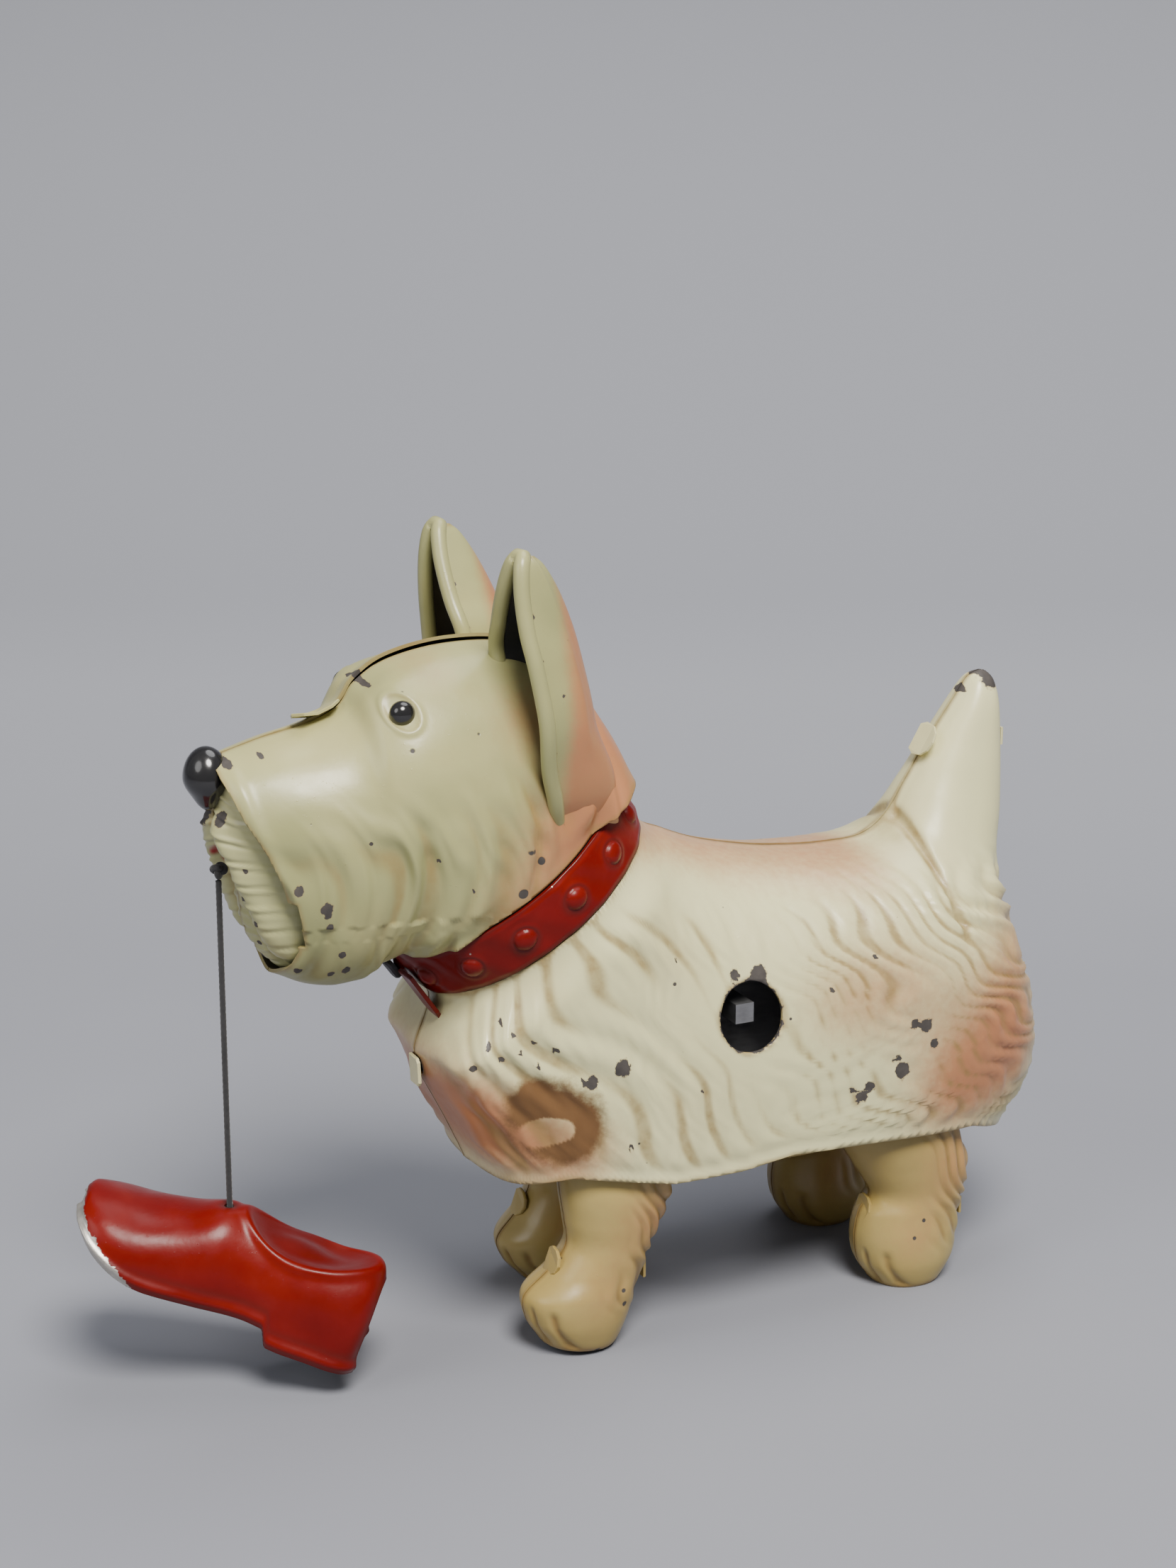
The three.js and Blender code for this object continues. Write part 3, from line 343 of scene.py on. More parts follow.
def tin_inside():
    material, tree, shader, where = finish_start("tin inside")
    grey = blend_colour(tree, ramp(tree, noise(tree, where, 90, 5), 0.35, 0.7), (0.030, 0.030, 0.030),
                        (0.10, 0.085, 0.065))
    tree.links.new(grey, shader.inputs["Base Color"])
    shader.inputs["Metallic"].default_value = 0.4
    tree.links.new(ramp(tree, noise(tree, where, 300, 3), 0.3, 0.7, 0.45, 0.7), shader.inputs["Roughness"])
    bump(tree, shader, noise(tree, where, 500, 3), 0.15)
    return material


PINK = (0.46, 0.19, 0.085)
FLANK = enamel("cream enamel on the body", (0.72, 0.69, 0.38), (0.78, 0.74, 0.42), PINK, 0.16, 0.8, 0.6)
HEAD_COAT = enamel("grey cream enamel on the head", (0.30, 0.30, 0.13), (0.47, 0.45, 0.205), PINK, 0.2,
                   0.7, 0.8)
FACE_COAT = enamel("cream enamel on the face", (0.40, 0.40, 0.19), (0.56, 0.53, 0.27), (0.34, 0.018, 0.014),
                   0.16, 0.75, 0.8)
LEG_COAT = enamel("yellowed enamel on the legs", (0.38, 0.27, 0.075), (0.46, 0.36, 0.13), PINK, 0.4, 1.0,
                  0.65)
RED_BAND = red_enamel("red enamel on the collar", 900.0, 0.3)
RED_SHOE = red_enamel("red enamel on the shoe", 700.0, 0.35)
BLACK = gloss_black()
THREAD_COTTON = cotton_thread()
INSIDE = tin_inside()
STEEL = bare_metal("dulled steel", (0.42, 0.42, 0.43), (0.24, 0.24, 0.25), (1, 1, 12), 0.32)
BRASS = bare_metal("stamped brass", (0.62, 0.46, 0.20), (0.40, 0.28, 0.11), (1, 14, 1), 0.28)
SPRING = bare_metal("blued spring steel", (0.12, 0.15, 0.22), (0.05, 0.06, 0.10), (1, 14, 1), 0.25)
CLASP_STEEL = bare_metal("dark clasp steel", (0.10, 0.10, 0.11), (0.04, 0.04, 0.045), (8, 1, 1), 0.4)


# ------------------------------------------------------------------ pressed sheets
def flowing(rows, count):
    """The rows of chords carried smoothly through count steps."""
    rows = np.array(rows, float)
    last = len(rows) - 1
    t = np.linspace(0, last, count + 1)
    k = np.minimum(t.astype(int), last - 1)
    f = (t - k)[:, None]
    p0, p1, p2, p3 = (rows[np.clip(k + n, 0, last)] for n in (-1, 0, 1, 2))
    m1, m2 = (p2 - p0) / 2, (p3 - p1) / 2
    out = ((2 * f**3 - 3 * f**2 + 1) * p1 + (f**3 - 2 * f**2 + f) * m1
           + (3 * f**2 - 2 * f**3) * p2 + (f**3 - f**2) * m2)
    out[:, 4] = np.maximum(out[:, 4], 0.2)
    return out


def half_form(rows, steps, sides, fullness, side, plane=0.0):
    """Grid of one pressed half, from its upper seam to its lower seam."""
    c = flowing(rows, steps)
    angle = np.linspace(0, math.pi, sides + 1)
    v = (1 - np.cos(angle)) / 2
    reach = np.sqrt(np.maximum(0, 1 - np.abs(np.cos(angle)) ** fullness))
    x = c[:, 0:1] + (c[:, 2:3] - c[:, 0:1]) * v
    z = c[:, 1:2] + (c[:, 3:4] - c[:, 1:2]) * v
    y = np.maximum(c[:, 4:5], 0.1) * reach * side + plane
    return np.stack([x, y, z], -1)


def grid_normals(grid, outward_from):
    du = np.gradient(grid, axis=0)
    dv = np.gradient(grid, axis=1)
    n = np.cross(du, dv)
    length = np.linalg.norm(n, axis=-1, keepdims=True)
    n = n / np.maximum(length, 1e-9)
    if np.mean(np.sum(n * (grid - outward_from), -1)) < 0:
        n = -n
    return n


def grid_faces(rows, columns, wrap=False):
    faces = []
    for r in range(rows - 1):
        for c in range(columns if wrap else columns - 1):
            d = (c + 1) % columns
            faces.append((r * columns + c, r * columns + d, (r + 1) * columns + d, (r + 1) * columns + c))
    return faces


def trimmed(data, faces, keep):
    """Cuts a sheet along the line where keep, one number per point, is zero."""
    made, cuts, result = [], {}, []
    inside = keep >= 0
    for face in faces:
        flags = [inside[i] for i in face]
        if all(flags):
            result.append(face)
        elif any(flags):
            ring = []
            for a, b in zip(face, face[1:] + face[:1]):
                if inside[a]:
                    ring.append(a)
                if inside[a] != inside[b]:
                    key = (min(a, b), max(a, b))
                    if key not in cuts:
                        share = keep[key[0]] / (keep[key[0]] - keep[key[1]])
                        cuts[key] = len(data) + len(made)
                        made.append(data[key[0]] + (data[key[1]] - data[key[0]]) * share)
                    ring.append(cuts[key])
            if len(set(ring)) > 2:
                result.append(tuple(ring))
    data = np.vstack([data, np.array(made)]) if made else data
    used = sorted({i for face in result for i in face})
    order = {old: new for new, old in enumerate(used)}
    return data[used], [tuple(order[i] for i in face) for face in result]


def facing(points, normals, faces):
    """The faces turned so that they agree with the normals."""
    turned = []
    for f in faces:
        a, b, c = points[f[0]], points[f[1]], points[f[2]]
        n = np.cross(b - a, c - a)
        turned.append(f if np.dot(n, normals[f[0]]) >= 0 else f[::-1])
    return turned


def make_object(name, points, faces, materials, slots=None, smooth=None, values=None):
    """A mesh object from points in design millimetres."""
    mesh = bpy.data.meshes.new(name)
    mesh.from_pydata([tuple(place(*p)) for p in points], [], faces)
    for material in materials:
        mesh.materials.append(material)
    mesh.polygons.foreach_set("use_smooth", smooth if smooth is not None else [True] * len(faces))
    if slots is not None:
        mesh.polygons.foreach_set("material_index", slots)
    for key, numbers in (values or {}).items():
        mesh.attributes.new(key, "FLOAT", "POINT").data.foreach_set("value", np.asarray(numbers, np.float32))
    mesh.validate()
    made = bpy.data.objects.new(name, mesh)
    bpy.context.scene.collection.objects.link(made)
    return made


MASKS = ("hollow", "blush", "wear", "stain")


def tin_sheet(name, points, normals, faces, masks, outside, thickness=SHEET, inside=None, edge_wear=0.35):
    """A sheet of that thickness behind the points, with a rim and paint rubbed along its cut edges."""
    count = len(points)
    faces = facing(points, normals, faces)
    seen = {}
    for face in faces:
        for a, b in zip(face, face[1:] + face[:1]):
            seen[(a, b)] = seen.get((a, b), 0) + 1
    border = [(a, b) for (a, b) in seen if (b, a) not in seen]
    all_points = np.vstack([points, points - normals * thickness])
    back = [tuple(i + count for i in f[::-1]) for f in faces]
    rim = [(b, a, a + count, b + count) for a, b in border]
    tree = KDTree(max(len(border), 1))
    for k, (a, _) in enumerate(border):
        tree.insert(points[a], k)
    tree.balance()
    near = np.array([tree.find(p)[2] for p in points]) if border else np.full(count, 9.0)
    masks = {k: np.array(masks.get(k, np.zeros(count)), float) for k in MASKS}
    masks["wear"] = masks["wear"] + edge_wear * np.exp(-((near / 0.45) ** 2))
    # The hollow mask rises along every cut edge as well: varnish and painted shade at the seams.
    masks["hollow"] = np.clip(masks["hollow"] + 0.8 * np.exp(-((near / 0.7) ** 2)), 0, 1)
    slots = [0] * len(faces) + [1] * len(back) + [0] * len(rim)
    smooth = [True] * (len(faces) + len(back)) + [False] * len(rim)
    values = {k: np.concatenate([v, v]) for k, v in masks.items()}
    return make_object(name, all_points, faces + back + rim, [outside, inside or INSIDE], slots, smooth,
                       values)


def masks_of(data):
    """The painted masks kept in the columns after each point and its normal."""
    return {k: data[:, 6 + i] for i, k in enumerate(MASKS)}


def even_masks(count, hollow, wear):
    """The same pooled varnish and rubbed paint all over a small piece."""
    return {"hollow": np.full(count, hollow), "wear": np.full(count, wear), "blush": np.zeros(count),
            "stain": np.zeros(count)}


def fade(value, low, high):
    t = np.clip((value - low) / (high - low), 0, 1)
    return t * t * (3 - 2 * t)


def flakes(x, z, listed):
    """Places where paint has flaked: middle and radius of each."""
    total = np.zeros_like(x)
    for cx, cz, radius in listed:
        total = np.maximum(total, 1.25 * np.exp(-(((x - cx) ** 2 + (z - cz) ** 2) / (1.15 * radius) ** 2)))
    return total


def spots(x, z, listed):
    """Soft round patches: middle, reach and strength of each."""
    total = np.zeros_like(x)
    for cx, cz, reach, strength in listed:
        total = total + strength * np.exp(-(((x - cx) ** 2 + (z - cz) ** 2) / reach**2))
    return total


def drift(x, z, size, seed):
    """Smooth wandering numbers of about plus or minus one."""
    rng = np.random.default_rng(seed)
    total = np.zeros_like(x)
    for _ in range(7):
        a = rng.uniform(0, 2 * math.pi)
        k = rng.uniform(0.6, 1.6) * 2 * math.pi / size
        total = total + np.sin((x * math.cos(a) + z * math.sin(a)) * k + rng.uniform(0, 6.28))
    return total / 3.0


def locks(x, z, centre, width, wave, seed, sharp=0.8, curl=11.0):
    """Pressed locks of hair that bend round a centre. 0 in the grooves and 1 on the crests."""
    dx, dz = x - centre[0], z - centre[1]
    r = np.hypot(dx, dz)
    along = np.arctan2(dz, dx) * r
    waver = np.sin(along * 2 * math.pi / curl + 0.9 * drift(x, z, 30, seed + 1))
    phase = r / width + wave * waver + 0.55 * drift(x, z, width * 9, seed)
    crest = 0.5 + 0.5 * np.cos(2 * math.pi * phase)
    return crest**sharp


# ------------------------------------------------------------------ tables of the pressed forms
BODY = [
    [-67.8, 92.9, -68.9, 92.7, 0.5], [-65.6, 92.0, -70.2, 91.2, 2.6], [-63.2, 88.8, -71.0, 87.5, 4.2],
    [-58.4, 82.2, -71.4, 80.5, 5.6], [-54.8, 76.8, -71.2, 71.5, 7.5], [-51.3, 71.6, -70.0, 62.0, 10.5],
    [-47.0, 68.9, -72.0, 50.5, 15.5], [-41.0, 68.5, -75.0, 38.0, 19.5], [-34.0, 68.9, -73.8, 25.0, 21.6],
    [-26.0, 70.0, -58.0, 8.0, 22.0], [-16.0, 72.6, -26.0, -6.0, 22.0], [-8.0, 76.8, -8.0, -6.0, 21.6],
    [-3.9, 83.0, -1.0, -6.0, 21.0], [3.0, 96.0, 6.0, -3.0, 20.2], [16.0, 101.0, 14.0, 8.0, 18.8],
    [29.5, 84.0, 19.4, 24.5, 16.8], [31.8, 66.0, 22.8, 32.5, 13.6], [29.6, 54.0, 25.8, 38.5, 8.5],
    [28.2, 45.0, 27.4, 41.5, 1.6],
]
HEM_X = [-90, -66, -57, -36, -23, -15, -4, 11, 19.5, 40]
HEM_Z = [21.0, 22.0, 25.4, 27.0, 27.6, 26.5, 26.2, 28.6, 27.2, 27.5]
HEAD = [
    [61.5, 92.0, 53.0, 62.0, 7.8], [57.0, 93.2, 49.3, 60.4, 10.0], [50.5, 94.9, 45.5, 58.6, 12.2],
    [44.0, 96.2, 41.5, 58.0, 13.8], [39.2, 98.2, 38.0, 58.9, 15.0], [36.6, 101.5, 35.0, 60.4, 16.0],
    [31.5, 104.4, 31.6, 59.0, 16.8], [22.5, 105.9, 27.0, 50.0, 17.3], [12.5, 105.0, 18.0, 44.0, 17.5],
    [5.0, 100.5, 8.0, 44.0, 17.5], [1.2, 95.0, -2.0, 50.0, 17.2], [-1.0, 89.5, -7.0, 60.0, 15.6],
    [-2.6, 84.5, -8.5, 69.0, 12.0], [-4.6, 79.0, -9.5, 74.0, 5.0],
]
FACE = [
    [50.0, 93.2, 41.0, 59.6, 10.6], [55.6, 92.0, 46.6, 59.9, 9.2], [57.6, 89.5, 50.4, 62.6, 7.6],
    [58.0, 86.0, 52.4, 66.2, 5.8], [57.9, 83.5, 53.8, 70.5, 3.6], [57.2, 81.0, 55.0, 75.5, 1.2],
]
EAR = [
    [78.0, 11.5, 3.5, 10.0, 14.4], [82.0, 13.0, 4.6, 11.0, 17.0], [86.0, 14.2, 5.5, 11.0, 19.0],
    [91.0, 15.6, 5.6, 9.0, 19.8], [98.0, 16.4, 6.2, 7.0, 20.2],
    [105.0, 17.4, 7.4, 5.6, 19.2], [110.0, 18.2, 9.0, 8.2, 18.0], [115.0, 18.5, 11.3, 10.8, 17.0],
    [118.6, 18.2, 13.6, 12.6, 16.2], [120.0, 17.6, 15.2, 13.6, 15.4],
]
FRONT_LEG = [
    [9.2, 31.0, -10.0, 31.0, 4.6], [9.3, 27.0, -10.0, 27.0, 5.6], [8.6, 23.0, -9.4, 23.5, 6.4],
    [7.6, 19.0, -8.2, 19.5, 6.3], [7.0, 15.0, -6.8, 16.0, 6.0], [9.6, 11.2, -5.5, 11.5, 6.2],
    [13.2, 7.6, -4.7, 8.5, 6.9], [12.6, 4.0, -3.6, 4.5, 7.0], [10.6, 1.2, -2.4, 1.2, 6.2],
    [9.6, 0.0, -1.6, 0.0, 5.4],
]
REAR_LEG = [
    [-35.5, 31.0, -56.5, 31.0, 4.8], [-36.0, 27.0, -57.2, 27.0, 5.6], [-37.2, 23.4, -58.0, 22.5, 6.3],
    [-40.0, 19.0, -59.3, 18.5, 6.3], [-42.2, 15.0, -58.9, 14.0, 6.0], [-40.4, 12.0, -58.0, 11.5, 6.3],
    [-39.7, 8.0, -57.4, 8.0, 6.9], [-40.4, 4.0, -56.8, 4.3, 7.0], [-42.2, 1.2, -55.0, 1.2, 6.2],
    [-43.2, 0.0, -54.0, 0.0, 5.4],
]
SHOE = [
    [0.0, 10.5, 5.6], [2.0, 12.5, 7.4], [8.0, 12.8, 8.2], [15.0, 12.8, 7.8], [21.0, 13.2, 7.8],
    [25.0, 13.4, 8.4], [30.0, 11.4, 9.4], [36.0, 9.6, 9.8], [41.0, 8.6, 8.6], [44.0, 7.0, 6.0],
    [45.0, 5.2, 2.6],
]
NECK_X, NECK_Z, NECK_SLOPE = 12.6, 70.1, 0.622
KEY_X, KEY_Z, KEY_HOLE_R = -16.6, 50, 5.2
EYE_X, EYE_Z = 33.6, 98.8
FRONT_PLANE, REAR_PLANE = 12.2, 13.0
STUDS, FIRST_STUD = 14, math.radians(96)
THREAD_LENGTH = 50.4
TOE_START, TOE_SPRING = 31, 0.028
COLLAR_LONG, COLLAR_WIDE = 19.9, 17.8
HIP_X, HIP_Z, LEG_SWING, PAW_LIFT = 2.5, 46.0, math.radians(5), 0.444


def drawn_to_neck(points, low, high, widest):
    """Pulls a shell's open end in, or out, to the collar's ellipse between two heights above its plane."""
    x, y, z = points[..., 0], points[..., 1], points[..., 2]
    s, c = math.sin(NECK_SLOPE), math.cos(NECK_SLOPE)
    d = (x - NECK_X) * s + (z - NECK_Z) * c
    u = (x - NECK_X) * c - (z - NECK_Z) * s
    size = np.sqrt((u / (COLLAR_LONG + 0.1)) ** 2 + (y / (COLLAR_WIDE + 0.1)) ** 2)
    share = fade(d, low, high) if high > low else fade(-d, -low, -high)
    share = share * fade(widest - size, 0, 0.15) * fade(size, 0.45, 0.65)
    factor = 1 + (1 / np.maximum(size, 0.3) - 1) * share
    u, y = u * factor, y * factor
    return np.stack([NECK_X + u * c + d * s, y, NECK_Z - u * s + d * c], -1)


def above_neck(x, z):
    """Distance of a point above the collar's middle plane."""
    return (x - NECK_X) * math.sin(NECK_SLOPE) + (z - NECK_Z) * math.cos(NECK_SLOPE)


# ------------------------------------------------------------------ body
def body_relief(x, y, z):
    long_locks = locks(x, z, (-100, 104), 4.7, 0.20, 3, 0.85, 24.0)
    short_locks = locks(x, z, (-96, 100), 2.9, 0.40, 4, 0.9, 14.0)
    fur = long_locks + (short_locks - long_locks) * fade(-x, 12, 30)
    fine = locks(x, z, (-108, 112), 1.9, 0.3, 8, 0.9, 10.0)
    calm = 1 - 0.85 * np.exp(-(((x - KEY_X) ** 2 + (z - KEY_Z) ** 2) / 90))
    calm = calm * fade(68.5 - z + 0.25 * np.maximum(x + 10, 0), 0, 9) * fade(np.abs(y), 3, 11)
    tail = fade(z, 66, 76) * fade(-x, 44, 52)
    patchy = 0.62 + 0.38 * drift(x, z, 26, 5)
    rump = fade(-x, 30, 52)
    height = (1.05 * (fur - 0.5) * (0.75 + 0.25 * rump) + 0.30 * (fine - 0.5)) * np.clip(patchy, 0.25, 1.15)
    calm = calm * fade(z - np.interp(x, HEM_X, HEM_Z), 0.3, 4)
    return height * calm * (1 - tail), fur, calm * (1 - tail)


def body_half(side):
    grid = half_form(BODY, 300, 190, 2.5, side)
    normals = grid_normals(grid, grid.mean((0, 1)))
    x, y, z = grid[..., 0], grid[..., 1], grid[..., 2]
    height, fur, calm = body_relief(x, y, z)
    crease = np.exp(-((((x + 51.5) * 0.98 + (z - 73) * -0.2) / 0.8) ** 2)) * fade(76 - z, 0,
                                                                                  3) * fade(z, 54, 58)
    bulge = spots(x, z, [(-52, 46, 13, 0.5), (16, 48, 13, 0.4)]) * fade(np.abs(y), 6, 14)
    belly_lip = -0.6 * np.exp(-(((z - np.interp(x, HEM_X, HEM_Z) - 1.6) / 1.1) ** 2))
    depth = height - 0.8 * crease + bulge - 0.15 + belly_lip * 0.5
    depth = depth * fade(np.abs(y), 0.2, 2.0)
    grid = grid + normals * depth[..., None]
    grid[..., 1] = np.clip(grid[..., 1], -21.95, 21.95)
    grid = drawn_to_neck(grid, -11.0, -4.6, 1.6)
    normals = grid_normals(grid, grid.mean((0, 1)))
    x, y, z = x.ravel(), y.ravel(), z.ravel()
    # Hollow mask: fur grooves darkened as pooled varnish and painted shade; the tail's crease line as
    # painted shade, with soft darker patches at the tail's root and low on the chest.
    hollow = np.clip((1 - fur.ravel()) ** 2.2 * calm.ravel() * (0.75 + 0.5 * drift(x, z, 22, 6)), 0, 1)
    hollow = np.clip(hollow + 1.3 * crease.ravel() + 0.6
                     * spots(x, z, [(-50, 71, 4, 1), (15, 37, 7, 0.7)]), 0, 1)
    back = np.exp(-(((z - np.interp(x, [-48, -34, -16, -6, 6], [68.5, 69, 72.5, 77, 82])) / 5) ** 2))
    blush = 0.75 * back * fade(x, -52, -40) * fade(10 - x, 0, 10)
    blush = blush + spots(x, z,
                          [(-61, 38, 12, 1.0), (-50, 33, 9, 0.55), (-42, 51, 10, 0.55), (-31, 50, 8, 0.4),
                                 (-70, 56, 8, 0.35), (22, 36, 8, 0.95), (11, 32, 8, 0.7), (28, 42, 6, 0.7),
                                 (-62, 50, 9, 0.35)])
    wear = flakes(x, z,
                  [(4.5, 45.5, 1.3), (8.8, 43.8, 1.0), (10.0, 43.9, 0.7), (-18.7, 56, 1.2),
                   (-14.5, 56.4, 0.8),
                         (-42, 38, 1.3), (-41, 40, 0.7), (-36.5, 36.5, 0.9), (-34.9, 34.9, 1.1),
                         (-33, 36.2, 0.6),
                         (-46, 44.5, 1.1), (-44, 45, 0.8), (-47.5, 41.5, 0.8), (24, 50, 0.45),
                         (22, 48.6, 0.5),
                         (19.5, 49.6, 0.45), (17, 47.5, 0.5), (25.5, 47, 0.4), (14.5, 49.5, 0.6),
                         (20.5, 52, 0.4),
                         (23, 52.6, 0.35), (17.5, 50.8, 0.4), (-69, 92.6, 2.2), (-64, 90.5, 0.6),
                         (-30, 52, 0.5),
                         (-38, 56, 0.45), (3, 33, 0.5), (-8, 40, 0.4), (-22, 35, 0.35), (-5, 60, 0.35),
                         (30, 47, 0.5)])
    wear = wear + 0.33 * np.exp(-((np.hypot(x - KEY_X, z - KEY_Z) - KEY_HOLE_R) / 0.7) ** 2) * (side > 0)
    stain = spots(x, z, [(14.5, 38.6, 6.4, 1.2), (11, 35.5, 4.5, 0.7), (18, 42, 3.6, 0.6)]) * (side > 0)
    stain = stain - 2.4 * np.exp(-((((x - 14.8) / 3.6) ** 2 + ((z - 36.8) / 2.2) ** 2) ** 2)) * (side > 0)
    data = np.column_stack([grid.reshape(-1, 3), normals.reshape(-1, 3), hollow, blush, wear, stain])
    faces = grid_faces(301, 191)
    data, faces = trimmed(data, faces, data[:, 2] - np.interp(data[:, 0], HEM_X, HEM_Z))
    data, faces = trimmed(data, faces, -4.3 - above_neck(data[:, 0], data[:, 2]))
    gap = 0.17 + 0.28 * fade(data[:, 2], 60, 68) * fade(data[:, 0], -48, -34)
    data, faces = trimmed(data, faces, side * data[:, 1] - gap)
    if side > 0:
        data, faces = trimmed(data, faces, np.hypot(data[:, 0] - KEY_X, data[:, 2] - KEY_Z) - KEY_HOLE_R)
    name = "body_left" if side > 0 else "body_right"
    masks = masks_of(data)
    made = tin_sheet(name, data[:, :3], data[:, 3:6], faces, masks, FLANK)
    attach(made, "root")
    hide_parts("body_shell_left" if side > 0 else "body_shell_right")
    return made


# ------------------------------------------------------------------ head
def head_half(side):
    grid = half_form(HEAD, 240, 180, 2.5, side)
    normals = grid_normals(grid, grid.mean((0, 1)))
    x, y, z = grid[..., 0], grid[..., 1], grid[..., 2]
    fur = locks(x, z, (60, 70), 5.6, 0.16, 12, 1.1, 26.0)
    fine = locks(x, z, (62, 68), 2.9, 0.22, 14, 1.0, 16.0)
    beard = fade(89 - z + 0.2 * (45 - x), 0, 12) * fade(np.abs(y), 4, 9) * fade(x, -6, 8)
    beard = beard * (0.65 + 0.35 * drift(x, z, 24, 15))
    eye = np.hypot(x - EYE_X, z - EYE_Z)
    rim = 0.35 * np.exp(-(((eye - 2.25) / 0.35) ** 2)) - 0.5 * np.exp(-((eye / 1.7) ** 2))
    brow = 0.8 * np.exp(-(((x - 36) / 5) ** 2 + ((z - 101.8) / 3) ** 2)) + 0.5 * spots(x, z,
                                                                                       [(50, 84, 9, 1)])
    cheek = spots(x, z, [(22, 80, 12, 0.6), (44, 66, 9, 0.5)])
    lip = 0.5 * np.exp(-(((x - np.interp(z, [63, 75, 86, 95], [50, 51.4, 56.2, 58.4]) + 1.2) / 1.0) ** 2))
    depth = (1.15 * (fur - 0.5) + 0.35 * (fine - 0.5)) * beard + (rim + brow + cheek
                                                                  + lip) * fade(np.abs(y), 3, 8) - 0.1
    depth = depth * fade(np.abs(y), 0.3, 2.5)
    grid = grid + normals * depth[..., None]
    grid = drawn_to_neck(grid, 8.0, 4.6, 1.22)
    if side < 0:
        grid[..., 2] += 0.75 * fade(grid[..., 2], 94, 99) * fade(4 - np.abs(grid[..., 1]), 0,
                                                                 4) * fade(x, 4, 12)
    normals = grid_normals(grid, grid.mean((0, 1)))
    x, y, z = x.ravel(), y.ravel(), z.ravel()
    # Hollow mask: fur grooves darkened as pooled varnish and painted shade, and a ring of painted shade
    # round the eye in its socket.
    hollow = np.clip((1 - fur.ravel()) ** 2.4 * beard.ravel() * 0.9, 0, 1)
    hollow = np.clip(hollow + 0.55 * np.exp(-((eye.ravel() - 1.95) / 0.25) ** 2), 0, 1)
    blush = spots(x, z,
                  [(5, 84, 9, 0.95), (12, 77, 9, 0.6), (2, 96, 8, 0.8), (16, 97, 6, 0.45), (20, 70, 7, 0.4),
                         (28, 104, 5, 0.3)])
    wear = flakes(x, z,
                  [(49.5, 76.0, 0.7), (46, 73.2, 0.85), (45.8, 72.2, 0.5), (45.5, 70.4, 0.5),
                   (43.5, 66, 0.5),
                         (42.5, 63.2, 0.6), (44.4, 62.8, 0.5), (48.5, 63.8, 0.5), (36, 101.8, 0.45),
                         (38.3, 101, 0.4),
                         (31, 79, 0.3), (40, 82, 0.3), (20, 66.5, 0.9), (37.5, 102.8, 0.3),
                         (56.5, 92.6, 0.7),
                         (52, 93.5, 0.4), (26, 74, 0.3), (12, 98, 0.3), (24, 90, 0.25)])
    data = np.column_stack([grid.reshape(-1, 3), normals.reshape(-1, 3), hollow, blush, wear, 0 * x])
    faces = grid_faces(241, 181)
    edge = np.interp(data[:, 2], [60, 63.5, 66.5, 70.7, 75.5, 80.9, 85.7, 90.9, 94.4],
                     [50.6, 50, 49.3, 50.0, 51.4, 53.6, 56.2, 58.0, 58.4])
    data, faces = trimmed(data, faces, edge - data[:, 0])
    slot = np.maximum(np.abs(data[:, 2] - 70.6) - 3.4,
                      (np.interp(data[:, 2], [66, 74], [48.2, 50.2]) - data[:, 0]))
    data, faces = trimmed(data, faces, slot)
    data, faces = trimmed(data, faces, above_neck(data[:, 0], data[:, 2]) - 4.3)
    gap = 0.15 + 0.55 * fade(data[:, 2], 95, 100) * fade(40 - data[:, 0], 0, 18) * fade(data[:, 0], 4, 14)
    data, faces = trimmed(data, faces, side * data[:, 1] - gap)
    name = "head_left" if side > 0 else "head_right"
    masks = masks_of(data)
    made = tin_sheet(name, data[:, :3], data[:, 3:6], faces, masks, HEAD_COAT)
    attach(made, "root")
    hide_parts("head_shell_left" if side > 0 else "head_shell_right")
    return made


def ear(side):
    """A cupped ear, open to the front, its edge folded over as a bead."""
    c = flowing([row[:] for row in EAR], 120)
    z, front, back, inner, outer = (c[:, k:k + 1] for k in range(5))
    turns = 72
    angle = np.linspace(-0.5 * math.pi, 0.5 * math.pi, turns + 1)
    flare = 1 - fade(z, 86, 97)
    wide = (outer - inner) / 2
    middle = (outer + inner) / 2 - flare * 0.8
    deep = (front - back) + flare * 3.0
    x = front - deep * np.maximum(np.cos(angle), 0) ** 0.85
    y = side * (middle + wide * np.sin(angle) * np.ones_like(front))
    grid = np.stack([x, y, z * np.ones_like(x)], -1)
    inside = np.array([25, side * 13, 103.0])
    normals = grid_normals(grid, inside)
    px, pz = grid[..., 0].ravel(), grid[..., 2].ravel()
    rib = 0.25 * np.exp(-(((angle - 0.9) / 0.12) ** 2)) * fade(z, 90, 96)
    grid = grid + normals * (rib - 0.15)[..., None]
    blush = np.clip(fade(14.5 - px, 0, 5) * 0.95 + 0.25 * fade(100 - pz, 0, 12), 0, 1)
    wear = flakes(px, pz,
                  [(17.0, 112, 0.4), (16.2, 106, 0.4), (15.8, 99, 0.35), (14.8, 93, 0.4), (13, 101, 0.3)])
    hollow = 0 * px
    masks = {"blush": blush, "wear": wear, "hollow": hollow}
    name = "left" if side > 0 else "right"
    shell = tin_sheet("ear_" + name, grid.reshape(-1, 3), normals.reshape(-1, 3),
                      grid_faces(121, turns + 1), masks,
                      HEAD_COAT, edge_wear=0.2)
    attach(shell, "root")
    low = int(0.02 * 120)
    path = np.vstack([grid[low:, 0], grid[::-1][: 121 - low, -1]])
    keep = [0]
    for k in range(1, len(path)):
        if np.linalg.norm(path[k] - path[keep[-1]]) > 0.5:
            keep.append(k)
    hem = tube("ear_hem_" + name, path[keep] + np.array([-0.3, 0, 0]), 1.15, HEAD_COAT, 16)
    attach(hem, "root")


